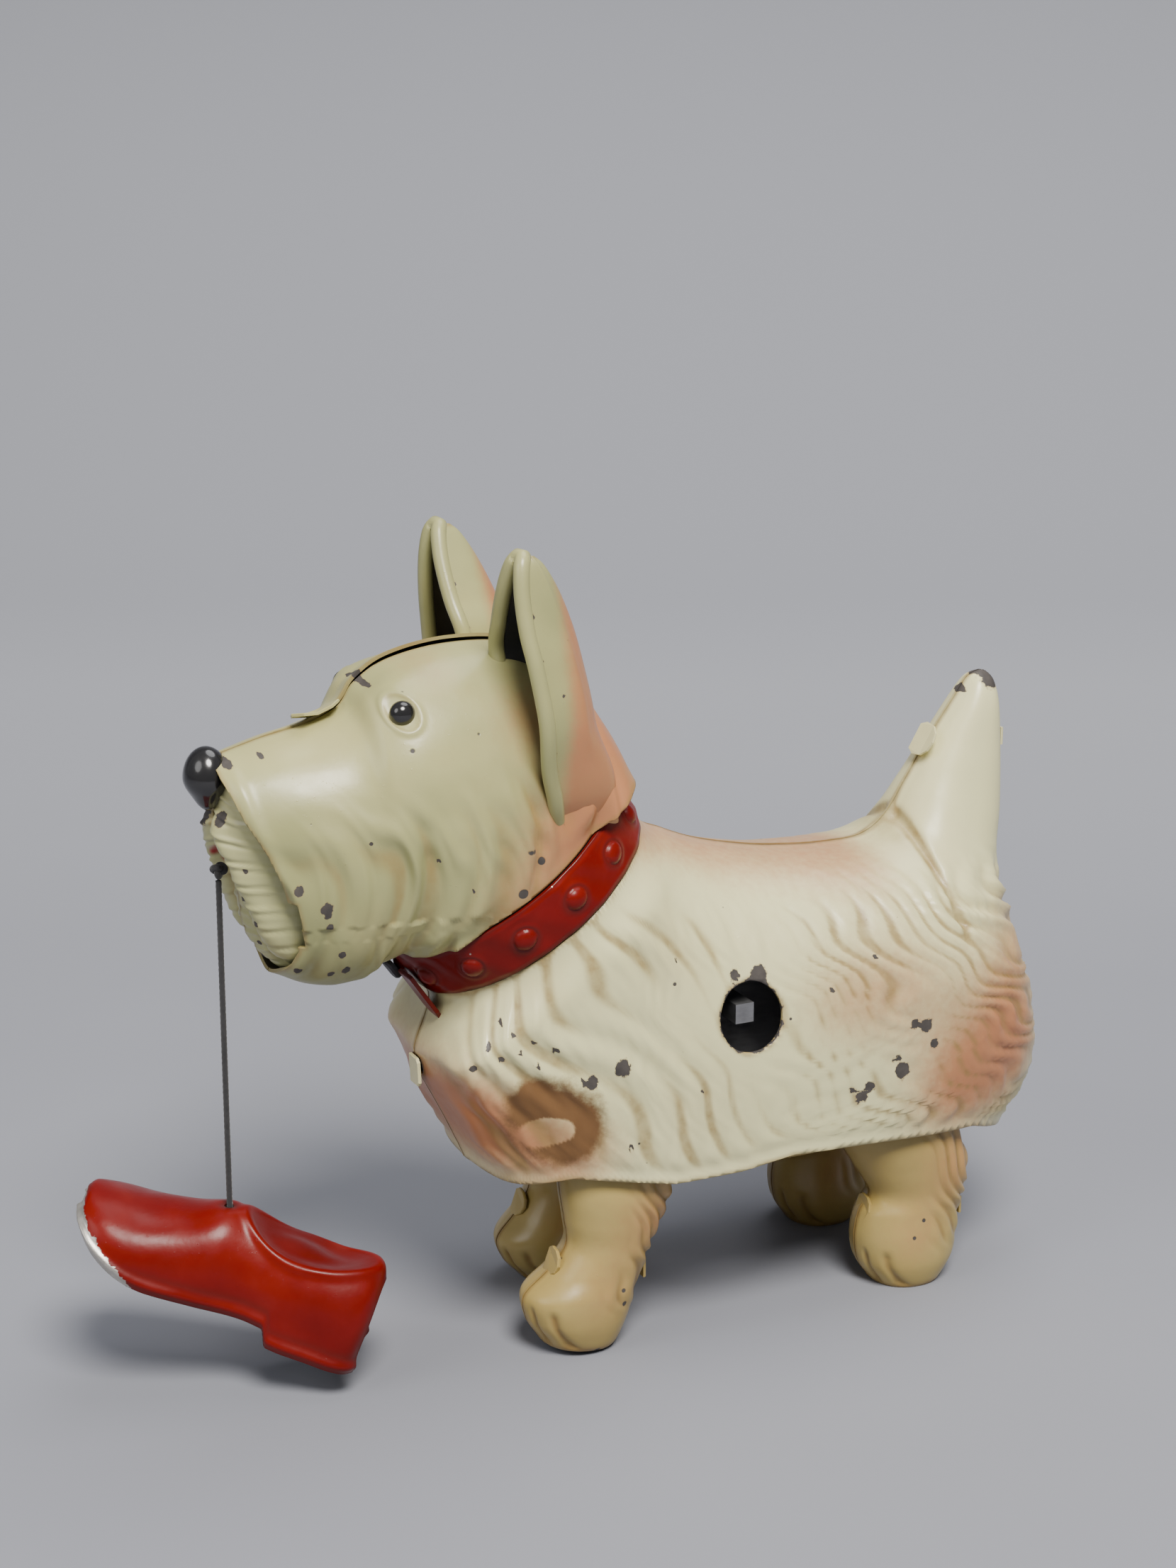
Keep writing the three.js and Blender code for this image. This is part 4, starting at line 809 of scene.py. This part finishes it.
def tube(name, path, radius, material, sides=12, squash=1.0, twist=0.0, lobes=0):
    """A round tube along a path, its ends rounded off."""
    path = np.asarray(path, float)
    count = len(path)
    radii = np.broadcast_to(np.asarray(radius, float), (count,)).copy()
    tangent = np.gradient(path, axis=0)
    tangent /= np.linalg.norm(tangent, axis=1, keepdims=True)
    up = np.array([0.3, 1.0, 0.2])
    rings, travelled = [], 0.0
    side = np.cross(tangent[0], up)
    side /= np.linalg.norm(side)
    for k in range(count):
        side = side - tangent[k] * np.dot(side, tangent[k])
        side /= np.linalg.norm(side)
        other = np.cross(tangent[k], side)
        if k:
            travelled += np.linalg.norm(path[k] - path[k - 1])
        a = np.linspace(0, 2 * math.pi, sides, endpoint=False)
        r = radii[k] * (1 + (0.16 * np.abs(np.cos(lobes * 0.5 * (a - twist * travelled)))
                             - 0.16 if lobes else 0))
        ring = path[k] + np.outer(r * np.cos(a), side) + np.outer(r * np.sin(a), other) * squash
        rings.append(ring)
    points = np.vstack(rings
                       + [path[:1] - tangent[:1] * radii[0] * 0.5,
                          path[-1:] + tangent[-1:] * radii[-1] * 0.5])
    faces = grid_faces(count, sides, True)
    top, end = count * sides, count * sides + 1
    faces += [(k, top, (k + 1) % sides) for k in range(sides)]
    last = (count - 1) * sides
    faces += [(last + k, last + (k + 1) % sides, end) for k in range(sides)]
    return make_object(name, points, [f[::-1] for f in faces], [material])


# ------------------------------------------------------------------ face, nose, eyes
def face_plate():
    for side in (1, -1):
        grid = half_form(FACE, 110, 120, 2.5, side)
        normals = grid_normals(grid, np.array([50.0, 0, 76.0]))
        y, z = grid[..., 1], grid[..., 2]
        across = np.abs(y)
        roll_at = np.interp(z, [62, 66, 72, 78, 84], [6.6, 6.8, 6.2, 4.4, 1.8])
        rolls = 1.5 * np.exp(-(((across - roll_at) / 2.3) ** 2)) * fade(z, 62.5, 66) * fade(86 - z, 0, 3)
        mouth = np.exp(-(((z - 78.2 + 0.05 * y**2) / 1.3) ** 2)) * fade(4.4 - across, 0, 1.8)
        philtrum = np.exp(-((y / 0.6) ** 2)) * fade(z, 80, 82) * fade(86 - z, 0, 2)
        chin = 1.1 * np.exp(-(((z - 68) / 5.0) ** 2 + (y / 3.0) ** 2))
        valley = np.exp(-(((across - roll_at + 2.9) / 0.7) ** 2)) * fade(z, 61, 64) * fade(78 - z, 0, 3)
        hair = locks(z, y, (120, 0), 2.3, 0.25, 51, 0.9, 9.0)
        depth = rolls + chin - 1.5 * mouth - 0.4 * philtrum - 0.7 * valley + 0.3 * (hair - 0.5) - 0.5
        grid = grid + normals * depth[..., None]
        normals = grid_normals(grid, np.array([50.0, 0, 76.0]))
        y, z = y.ravel(), z.ravel()
        upper_lip = np.exp(-(((z - 79.7 + 0.10 * y**2) / 0.55) ** 2)) * fade(4.3 - np.abs(y), 0, 1)
        lower_lip = np.exp(-(((z - 76.6 - 0.06 * y**2) / 0.55) ** 2)) * fade(3.6 - np.abs(y), 0, 1)
        wear = flakes(y, z,
                      [(1.5, 72.5, 0.4), (3.4, 70, 0.45), (4.6, 66.5, 0.5), (2.2, 66, 0.4), (5.2, 74, 0.4),
                             (3, 84.8, 1.1), (-2, 84.6, 1.5), (0.4, 63.5, 0.6), (6, 70.5, 0.4),
                             (6.5, 78, 0.35)])
        # Hollow mask: the mouth, the groove under the nose and the valleys beside the rolls, darkened as
        # pooled varnish and painted shade.
        masks = {"hollow": np.clip(mouth.ravel() * 0.5 + philtrum.ravel() * 0.6 + valley.ravel() * 0.8, 0,
                                   1),
                 "wear": wear, "blush": np.clip(upper_lip + lower_lip, 0, 1) * 1.1}
        made = tin_sheet("face_left" if side > 0 else "face_right", grid.reshape(-1, 3),
                         normals.reshape(-1, 3),
                         grid_faces(111, 121), masks, FACE_COAT, edge_wear=0.1)
        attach(made, "root")
    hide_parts("muzzle")


def ball(name, centre, radii, material, rings=48, shape=None):
    lat = np.linspace(0, math.pi, rings + 1)[1:-1]
    lon = np.linspace(0, 2 * math.pi, 2 * rings, endpoint=False)
    grid = np.stack([np.outer(np.sin(lat), np.cos(lon)), np.outer(np.sin(lat), np.sin(lon)),
                     np.outer(np.cos(lat), np.ones_like(lon))], -1)
    if shape:
        grid = grid * shape(grid)[..., None]
    points = np.vstack([grid.reshape(-1, 3), [[0, 0, 1]], [[0, 0, -1]]]) * np.array(radii) + np.array(centre)
    faces = grid_faces(rings - 1, 2 * rings, True)
    count = 2 * rings
    top, end = (rings - 1) * count, (rings - 1) * count + 1
    faces += [(k, top, (k + 1) % count) for k in range(count)]
    last = (rings - 2) * count
    faces += [(last + k, last + (k + 1) % count, end) for k in range(count)]
    return make_object(name, points, [f[::-1] for f in faces], [material])


def nose_and_eyes():
    def egg(g):
        return 1 - 0.26 * fade(-g[..., 2], -0.1, 0.9) * np.hypot(g[..., 0], g[..., 1])
    nose = ball("nose_bead", (58.4, 0, 89.9), (3.3, 3.7, 4.6), BLACK, 60, egg)
    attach(nose, "root")
    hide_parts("nose")
    for side, name in ((1, "left"), (-1, "right")):
        eye = ball("eye_bead_" + name, (EYE_X, side * 10.75, EYE_Z), (1.85, 1.7, 1.85), BLACK, 40)
        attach(eye, "root")
        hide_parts("eye_" + name)


# ------------------------------------------------------------------ collar
def neck_point(u, y, d):
    """A point of the collar: u along its slope, y sideways, d up its own axis."""
    s, c = math.sin(NECK_SLOPE), math.cos(NECK_SLOPE)
    return np.stack([NECK_X + u * c + d * s, y, NECK_Z - u * s + d * c], -1)


def collar():
    turns, wide = 720, 40
    a = np.linspace(0, 2 * math.pi, turns, endpoint=False)[None, :]
    d = np.linspace(-4, 4, wide + 1)[:, None]
    out = 0.7 - 0.25 * fade(np.abs(d), 3.1, 4.0) * np.ones_like(a)
    length = (COLLAR_LONG + COLLAR_WIDE) / 2
    studs, stud_ring_shade = np.zeros_like(out), np.zeros_like(out)
    for k in range(STUDS):
        apart = (a - FIRST_STUD - 2 * math.pi * k / STUDS + math.pi) % (2 * math.pi) - math.pi
        r = np.hypot(apart * length, d)
        studs = studs + 1.0 * np.sqrt(np.clip(1 - (r / 1.55) ** 2, 0,
                                              1)) + 0.16 * np.exp(-(((r - 1.9) / 0.5) ** 2))
        # A ring of painted shade round the foot of each stud.
        stud_ring_shade = stud_ring_shade + 0.7 * np.exp(-(((r - 1.85) / 0.35) ** 2))
    crumple = 0.12 * np.sin(a * 9 + d * 0.3) + 0.1 * np.sin(a * 23 + d * 0.8)
    lift = out + studs + crumple * 0.6
    u = (COLLAR_LONG + lift) * np.cos(a)
    y = (COLLAR_WIDE + lift) * np.sin(a)
    grid = neck_point(u, y, d * np.ones_like(a))
    inner = neck_point((COLLAR_LONG + 0.0 * lift) * np.cos(a), COLLAR_WIDE * np.sin(a) * np.ones_like(d),
                       d * np.ones_like(a))
    count = turns * (wide + 1)
    points = np.vstack([grid.reshape(-1, 3), inner.reshape(-1, 3)])
    outer_faces = grid_faces(wide + 1, turns, True)
    faces = outer_faces + [tuple(i + count for i in f[::-1]) for f in outer_faces]
    rim = []
    for row in (0, wide):
        for c in range(turns):
            p, q = row * turns + c, row * turns + (c + 1) % turns
            rim.append((p, q, q + count, p + count) if row else (q, p, p + count, q + count))
    # Darker along the band's rolled edges and round the studs: painted shade.
    hollow = np.clip(np.exp(-(((np.hypot(0, d) - 3.9) / 0.25) ** 2)) * np.ones_like(a) * 0.8, 0, 1).ravel()
    hollow = np.clip(hollow + stud_ring_shade.ravel(), 0, 1)
    wear = (0.22 * np.exp(-(((np.abs(d) - 3.9) / 0.3) ** 2)) * np.ones_like(a)).ravel()
    zero = np.zeros(2 * count)
    values = {"hollow": np.concatenate([hollow, hollow * 0]), "wear": np.concatenate([wear, wear * 0]),
              "blush": zero, "stain": zero}
    smooth = [True] * len(faces) + [False] * len(rim)
    band = make_object("collar", points, [f[::-1] for f in faces + rim], [RED_BAND], None, smooth, values)
    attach(band, "root")
    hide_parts("collar_band")
    # A dark sleeve of painted shade fills the gaps round the collar.
    neck = shade_sleeve()
    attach(neck, "root")
    strap_and_clasp()


def shade_sleeve():
    """A dark sleeve under the collar: painted shade seen in the gaps above and below the collar."""
    turns = 180
    a = np.linspace(0, 2 * math.pi, turns, endpoint=False)[None, :]
    d = np.linspace(-5.4, 5.4, 13)[:, None]
    grid = neck_point((COLLAR_LONG - 0.5) * np.cos(a) * np.ones_like(d),
                      (COLLAR_WIDE - 0.5) * np.sin(a) * np.ones_like(d),
                      d * np.ones_like(a))
    return make_object("neck_shade_sleeve", grid.reshape(-1, 3), grid_faces(13, turns, True), [INSIDE])


def plate(name, outline, thickness, at, across, up, material, bend=0.0, values=None, rounding=0.12):
    """A small cut plate: outline in its own plane, standing thickness proud, bent by bend per mm."""
    across, up = Vector(across).normalized(), Vector(up)
    up = (up - across * up.dot(across)).normalized()
    out = across.cross(up)
    points = []
    layers = [(0.0, 0.0), (thickness - rounding, 0.0), (thickness, rounding)]
    centre = np.mean(outline, axis=0)
    for lift, inset in layers:
        for u, v in outline:
            du, dv = u - centre[0], v - centre[1]
            size = max(math.hypot(du, dv), 1e-6)
            u2, v2 = u - du / size * inset, v - dv / size * inset
            p = Vector(at) + across * u2 + up * v2 + out * (lift - bend * (u2 * u2 + v2 * v2 * 0.3))
            points.append(tuple(p))
    n = len(outline)
    faces = [tuple(range(n))[::-1], tuple(range(2 * n, 3 * n))]
    for layer in range(2):
        for k in range(n):
            m = (k + 1) % n
            faces.append((layer * n + k, layer * n + m, (layer + 1) * n + m, (layer + 1) * n + k))
    smooth = [False] * len(faces)
    return make_object(name, points, faces, [material], None, smooth, values)


def strap_and_clasp():
    s, c = math.sin(NECK_SLOPE), math.cos(NECK_SLOPE)
    along, axis = Vector((c, 0, -s)), Vector((s, 0, c))
    reach = COLLAR_LONG + 0.7
    at = Vector((NECK_X, 0, NECK_Z)) + along * (reach + 0.9) + Vector((0, 2.6, 0)) + axis * -3.6
    outline = [(-2.3, 4.4), (-2.3, -2.6), (-1.5, -4.0), (0, -4.5), (1.5, -4.0), (2.3, -2.6), (2.3, 4.4)]
    count = len(outline) * 3
    masks = even_masks(count, 0.15, 0.1)
    strap = plate("collar_tongue", outline, 0.6, at, (0, 1, 0), axis, RED_BAND, 0.03, masks)
    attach(strap, "root")
    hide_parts("collar_strap_end")
    at = Vector((NECK_X, 0, NECK_Z)) + along * (reach + 1.0) + Vector((0, -2.2, 0)) + axis * 0.7
    outline = [(1.9 * math.copysign(abs(math.cos(t)) ** 0.6, math.cos(t)),
                1.8 * math.copysign(abs(math.sin(t)) ** 0.6, math.sin(t)))
               for t in np.linspace(0, 2 * math.pi, 28, endpoint=False)]
    clasp = plate("clasp", outline, 0.9, at, (0, 1, 0), axis, CLASP_STEEL, 0.04, None, 0.3)
    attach(clasp, "root")
    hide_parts("collar_clasp")


# ------------------------------------------------------------------ legs
def leg_half(name, rows, plane, side, front, dog_side):
    """side is +1 for the half that faces the dog's left."""
    grid = half_form(rows, 150, 110, 2.3, side, 0.0)
    middle = grid.mean((0, 1))
    normals = grid_normals(grid, np.array([middle[0], 0, middle[2]]))
    x, y, z = grid[..., 0], grid[..., 1], grid[..., 2]
    centre_x = np.interp(z, [0, 8, 16, 31], [4, 4, 0, 0]) if front else np.interp(z, [0, 8, 16, 31],
                                                                                  [-48, -48, -50, -46])
    behind = fade(centre_x + 1 - x, 0, 5) * fade(z, 5, 9)
    fur = locks(x, z, (centre_x.mean() - 46, 40), 2.6, 0.22, 21 + int(plane > 0))
    toes = np.zeros_like(x)
    front_x = np.interp(z, [0, 4, 8, 11], [9.6, 12.6, 13.2, 9.6]) if front else np.interp(z, [0, 4, 8, 11],
                                                                                          [-43.2, -40.4,
                                                                                           -39.7, -41])
    for yy in (2.2, 5.2):
        toes = toes + np.exp(-(((np.abs(y) - yy) / 0.5) ** 2)) * fade(7.2 - z, 0,
                                                                      2) * fade(x, front_x - 5.5,
                                                                                front_x - 3)
    depth = 0.5 * (fur - 0.5) * behind - 0.45 * toes - 0.1
    depth = depth * fade(np.abs(y), 0.1, 1.2) * fade(z, 0.1, 1.0)
    grid = grid + normals * depth[..., None]
    grid[..., 2] = np.maximum(grid[..., 2], 0.0)
    normals = grid_normals(grid, np.array([middle[0], 0, middle[2]]))
    x, y, z = x.ravel(), y.ravel(), z.ravel()
    # Hollow mask: fur grooves behind the leg and between the toes darkened as pooled varnish and painted
    # shade; darker towards the foot, and painted shade at the top where the leg goes up under the body's
    # hem.
    hollow = np.clip((1 - fur.ravel()) ** 1.8 * behind.ravel() * 0.9 + toes.ravel() * 0.8, 0, 1)
    hollow = np.clip(hollow + 0.4 * fade(3 - z, 0, 3) + 0.35 * fade(z, 24, 30), 0, 1)
    blush = spots(x, z, [(centre_x.min() - 5, 20, 8, 0.6), (centre_x.min() + 3, 9, 6, 0.4)])
    wear = 0.42 * fade(1.4 - z, 0, 1.4) * (0.7 + 0.5 * drift(x * 3, z * 3 + y, 9, 33))
    data = np.column_stack([grid.reshape(-1, 3), normals.reshape(-1, 3), hollow, blush, wear, 0 * x])
    faces = grid_faces(151, 111)
    data, faces = trimmed(data, faces, side * data[:, 1] - 0.12)
    data[:, 1] += plane
    if front:
        turn = -dog_side * LEG_SWING
        c, s = math.cos(turn), math.sin(turn)
        px, pz = data[:, 0] - HIP_X, data[:, 2] - HIP_Z + PAW_LIFT
        data[:, 0], data[:, 2] = HIP_X + c * px + s * pz, HIP_Z - s * px + c * pz
        nx, nz = data[:, 3].copy(), data[:, 5].copy()
        data[:, 3], data[:, 5] = c * nx + s * nz, -s * nx + c * nz
    masks = masks_of(data)
    made = tin_sheet(name, data[:, :3], data[:, 3:6], faces, masks, LEG_COAT, edge_wear=0.12)
    return made


def swung(point, dog_side):
    turn = -dog_side * LEG_SWING
    c, s = math.cos(turn), math.sin(turn)
    x, z = point[0] - HIP_X, point[2] - HIP_Z + PAW_LIFT
    return (HIP_X + c * x + s * z, point[1], HIP_Z - s * x + c * z)


def legs():
    for dog_side, name in ((1, "left"), (-1, "right")):
        for front, rows, plane in ((True, FRONT_LEG, FRONT_PLANE), (False, REAR_LEG, REAR_PLANE)):
            end = "front" if front else "rear"
            body = f"front_{name}_leg" if front else "root"
            for which in ("outer", "inner"):
                side = dog_side if which == "outer" else -dog_side
                half = leg_half(f"{end}_leg_{name}_{which}_half", rows, dog_side * plane, side, front,
                                dog_side)
                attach(half, body)
                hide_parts(f"{end}_leg_{name}_{which}")
            x0 = 8.9 if front else -41.2
            for k, (x, z,
                    outline) in enumerate(((x0, 12.4, D_TAB), (-5.9 if front else -58.3, 10.2, SMALL_TAB))):
                at = (x, dog_side * plane, z)
                facing_way = (0, 1, 0) if k == 0 else (0, -1, 0)
                up = (-0.35, 0, 1) if k == 0 else (0, 0, 1)
                at = swung(at, dog_side) if front else at
                count = len(outline) * 3
                masks = even_masks(count, 0.3, 0.22)
                tab = plate(f"{end}_leg_{name}_tab_{k + 1}", outline, 0.45, at, facing_way, up, LEG_COAT,
                            0.05, masks)
                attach(tab, body)


D_TAB = [(-1.9, -1.7), (-1.9, 1.7), (-0.9, 2.2), (0.6, 2.0), (1.7, 1.2), (2.1, 0), (1.7, -1.2),
         (0.6, -2.0), (-0.9, -2.2)]
SMALL_TAB = [(-1.2, -1.4), (-1.2, 1.4), (0.9, 1.4), (1.3, 0.9), (1.3, -0.9), (0.9, -1.4)]


def tabs():
    """Bent tabs that lock the two halves of the head, body and tail together."""
    def add(name, outline, at, across, up, coat, bend=0.04, thickness=0.45):
        count = len(outline) * 3
        masks = even_masks(count, 0.35, 0.25)
        tab = plate(name, outline, thickness, at, across, up, coat, bend, masks)
        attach(tab, "root")
    big_tab = [(1.25 * u, 1.25 * v) for u, v in D_TAB]
    add("tail_tab", big_tab, (-57.4, 1.2, 83.0), (0, 1, 0), (0.5, 0, -0.85), FLANK)
    add("tail_back_tab", SMALL_TAB, (-71.7, 0, 82), (0, -1, 0), (0, 0, 1), FLANK)
    add("chest_tab", [(-1.6, -2.2), (-1.6, 2.2), (1.2, 2.2), (1.7, 1.6), (1.7, -1.6), (1.2, -2.2)],
        (28.3, 0.5, 42.5), (0, 1, 0), (0.05, 0, 1), FLANK)
    nose_tab = [(-3.2, -2.0), (-3.5, 1.2), (-2.0, 2.2), (0.2, 1.7), (2.4, 2.5), (3.7, 1.0), (3.2, -1.4),
                (0.8, -2.1)]
    add("bridge_tab", nose_tab, (42.4, 0.8, 97.3), (1, 0, -0.22), (0.1, 1, 0.3), HEAD_COAT, -0.07, 0.45)
    for side in (1, -1):
        add("belly_tab_left" if side > 0 else "belly_tab_right",
            [(-2.2, -1.2), (-2.2, 1.0), (-1.4, 1.5), (1.6, 1.5), (2.2, 0.8), (2.2, -1.2)],
            (-24.9, side * 20.6, 28.2), (-side, 0, 0), (0, -side * 0.35, 1), LEG_COAT, 0.02)


# ------------------------------------------------------------------ shoe and thread
SHOE_TURN = Matrix.Rotation(math.radians(-30), 3, "Z") @ Matrix.Rotation(math.radians(-20), 3, "Y")
SHOE_HOLE = SHOE_TURN @ Vector((25, 0, 13.4))
SHOE_AT = Vector((THREAD_X, 0, 26.9)) - SHOE_HOLE


def toe_rise(x):
    """How far the shoe's toe springs up from the floor line."""
    return TOE_SPRING * np.maximum(x - TOE_START, 0) ** 2


def shoe():
    rows = [[x, top, x, -top, w] for x, top, w in SHOE]
    c = flowing(rows, 240)
    turns = 200
    angle = np.linspace(-0.72 * math.pi, 0.72 * math.pi, turns + 1)
    v = (1 - np.cos(angle)) / 2
    reach = np.sqrt(np.maximum(0, 1 - np.abs(np.cos(angle)) ** 2.6)) * np.sign(angle)
    x = c[:, 0:1] * np.ones_like(v)
    z = c[:, 1:2] * (1 - 2 * v)
    y = c[:, 4:5] * reach
    sole = -2.5 * fade(14.5 - x, 0, 1.5)
    waist = 1 - 0.10 * np.exp(-(((x - 17) / 5) ** 2)) * fade(6 - z, 0, 5)
    welt = 0.55 * np.exp(-(((z - sole - 1.2) / 0.8) ** 2))
    y = y * waist
    inside_dish = ((x - 11.8) / 10.0) ** 2 + (y / 5.2) ** 2
    lip = 0.5 * np.exp(-(((np.sqrt(inside_dish) - 1.05) / 0.10) ** 2)) * fade(z, 6, 10)
    z = z - 1.5 * fade(1 - inside_dish, 0, 0.85) * fade(z, 6, 10)
    z = z + toe_rise(x) * (1 - z / 12)
    grid = np.stack([x, y, z], -1)
    normals = grid_normals(grid, np.array([22.0, 0, -2.0]))
    dents = 0.22 * drift(x, y + z, 14, 41)
    hole = np.hypot(x - 25, y)
    dimple = -0.5 * np.exp(-((hole / 1.6) ** 2)) * fade(z, 6, 9)
    grid = grid + normals * (welt + lip + dents + dimple - 0.25)[..., None]
    normals = grid_normals(grid, np.array([22.0, 0, -2.0]))
    x, y, z = (k.ravel() for k in (x, y, z))
    sole = sole.ravel()
    rise = toe_rise(x)
    toe_edge = fade(x + 0.3 * np.abs(y), 36, 42) * np.exp(-(((z - rise - 1.2) / 2.0) ** 2)) * (y > -4)
    side_edge = fade(x, 30, 36) * np.exp(-(((z - rise - 0.4) / 1.0) ** 2)) * (y > 0)
    wear = 0.70 * toe_edge + 0.62 * side_edge
    # Hollow mask: a line above the sole, a ring round the thread hole and the dish on top, darkened as
    # painted shade.
    hollow = np.clip(0.5 * np.exp(-(((z - sole - 2.6) / 0.7) ** 2)) + 0.8
                     * np.exp(-((hole.ravel() / 1.1) ** 2)) * (z > 6)
                     + 0.35 * (inside_dish.ravel() < 0.9) * (z > 5), 0, 1)
    data = np.column_stack([grid.reshape(-1, 3), normals.reshape(-1, 3), hollow, 0 * x, wear, 0 * x, x, z])
    faces = grid_faces(241, turns + 1)
    data, faces = trimmed(data, faces,
                          data[:, 11] + 2.5 * fade(14.5 - data[:, 10], 0, 1.5) - toe_rise(data[:, 10]))
    upper = data[:, 11] > 6
    data, faces = trimmed(data, faces, np.where(upper, np.hypot(data[:, 10] - 25, data[:, 1]) - 0.75, 1.0))
    turn = np.array(SHOE_TURN)
    points = data[:, :3] @ turn.T + np.array(SHOE_AT)
    masks = masks_of(data)
    made = tin_sheet("red_shoe", points, data[:, 3:6] @ turn.T, faces, masks, RED_SHOE, 0.35, INSIDE, 0.18)
    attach(made, "hanging_shoe")
    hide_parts("shoe")


def knot_path(centre, size):
    t = np.linspace(0, 2 * math.pi, 90)
    x = (np.sin(t) + 2 * np.sin(2 * t)) / 3 * size
    y = (np.cos(t) - 2 * np.cos(2 * t)) / 3 * size
    z = -np.sin(3 * t) * size * 0.62
    return np.stack([x, z, y], -1) + np.array(centre)


def thread_and_knots():
    top, end = THREAD_TOP - 1.5, THREAD_TOP - 1.5 - THREAD_LENGTH
    path = [(THREAD_X, 0, z) for z in np.linspace(top, end, 160)]
    line = tube("hanging_thread", path, 0.45, THREAD_COTTON, 18, 1.0, 2.4, 3)
    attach(line, "hanging_thread")
    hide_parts("thread")
    upper = tube("knot_at_mouth", knot_path((THREAD_X - 0.1, 0, THREAD_TOP), 0.85), 0.46, THREAD_COTTON, 12)
    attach(upper, "knot")
    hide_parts("mouth_knot")
    lower = tube("knot_in_shoe", knot_path((THREAD_X, 0, end - 1.5), 0.78), 0.4, THREAD_COTTON, 12)
    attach(lower, "hanging_shoe")
    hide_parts("shoe_knot")


# ------------------------------------------------------------------ clockwork
def clockwork():
    finishes = {
        "steel": STEEL, "brass": BRASS, "spring_steel": SPRING, "cream_paint": FLANK, "leg_paint": LEG_COAT,
        "red_paint": RED_BAND, "gloss_black": BLACK, "black_thread": THREAD_COTTON,
    }
    for part in frame["record"]["subparts"]:
        node = frame["nodes"][part["node"]]
        node.data.materials.clear()
        node.data.materials.append(finishes[part["material_slot"]])


# ------------------------------------------------------------------ stage
def stage():
    floor, tree, shader, where = finish_start("pale blue grey paper")
    tone = blend_colour(tree, ramp(tree, noise(tree, where, 6, 3), 0.3, 0.7), (0.245, 0.252, 0.290),
                        (0.260, 0.268, 0.306))
    # A brighter band on the sweep behind the dog, low on its curve: a painted pool of light.
    painted_light_colour = blend_colour(tree, painted_value(tree, "painted_light_band"), tone, (0.42, 0.43, 0.475))
    tree.links.new(painted_light_colour, shader.inputs["Base Color"])
    shader.inputs["Roughness"].default_value = 0.85
    bump(tree, shader, noise(tree, where, 900, 3), 0.08)
    back = np.array([-math.sin(math.radians(26)), -math.cos(math.radians(26))])
    along = np.array([back[1], -back[0]])
    profile = [(-0.9, 0.0), (-0.3, 0.0), (0.0, 0.0), (0.15, 0.0), (0.3, 0.0), (0.42, 0.0), (0.55, 0.0)]
    profile += [(0.55 + 0.5 * math.sin(t), 0.5 - 0.5 * math.cos(t)) for t in np.linspace(0.05, math.pi / 2,
                                                                                         24)]
    profile += [(1.05, 2.2)]
    points, faces, painted_light_band = [], [], []
    for u, z in profile:
        # Strength of the painted pool of light: rising behind the dog and fading up the curve.
        painted_light_band += [float(fade(u, 0.05, 0.5) * (1 - fade(z, 0.10, 0.45)))] * 2
        for w in (-2.5, 2.5):
            points.append((back[0] * u + along[0] * w, back[1] * u + along[1] * w, z))
    for k in range(len(profile) - 1):
        faces.append((2 * k, 2 * k + 1, 2 * k + 3, 2 * k + 2))
    mesh = bpy.data.meshes.new("paper sweep")
    mesh.from_pydata(points, [], faces)
    mesh.materials.append(floor)
    mesh.polygons.foreach_set("use_smooth", [True] * len(faces))
    mesh.attributes.new("painted_light_band", "FLOAT", "POINT").data.foreach_set("value", painted_light_band)
    sweep = bpy.data.objects.new("paper_sweep", mesh)
    bpy.context.scene.collection.objects.link(sweep)

    def softbox(name, where_at, size, watts, colour):
        light = bpy.data.lights.new(name, "AREA")
        light.shape, light.size, light.energy, light.color = "DISK", size, watts, colour
        made = bpy.data.objects.new(name, light)
        made.location = where_at
        made.rotation_mode = "QUATERNION"
        made.rotation_quaternion = (Vector((0, 0, 0.06)) - Vector(where_at)).to_track_quat("-Z", "Y")
        bpy.context.scene.collection.objects.link(made)

    softbox("window_light", (0.10, 0.60, 0.92), 0.45, 19.0, (1.0, 0.965, 0.90))
    softbox("side_light", (0.75, 0.15, 0.55), 0.5, 2.0, (1.0, 0.99, 0.97))
    softbox("top_light", (-0.35, -0.15, 1.15), 0.8, 6.0, (1.0, 1.0, 1.0))
    world = bpy.data.worlds.new("studio")
    world.use_nodes = True
    world.node_tree.nodes["Background"].inputs[0].default_value = (0.60, 0.62, 0.66, 1)
    world.node_tree.nodes["Background"].inputs[1].default_value = 0.36
    bpy.context.scene.world = world


clockwork()
thread_and_knots()
for half in (1, -1):
    body_half(half)
    head_half(half)
    ear(half)
face_plate()
nose_and_eyes()
collar()
legs()
tabs()
shoe()
stage()
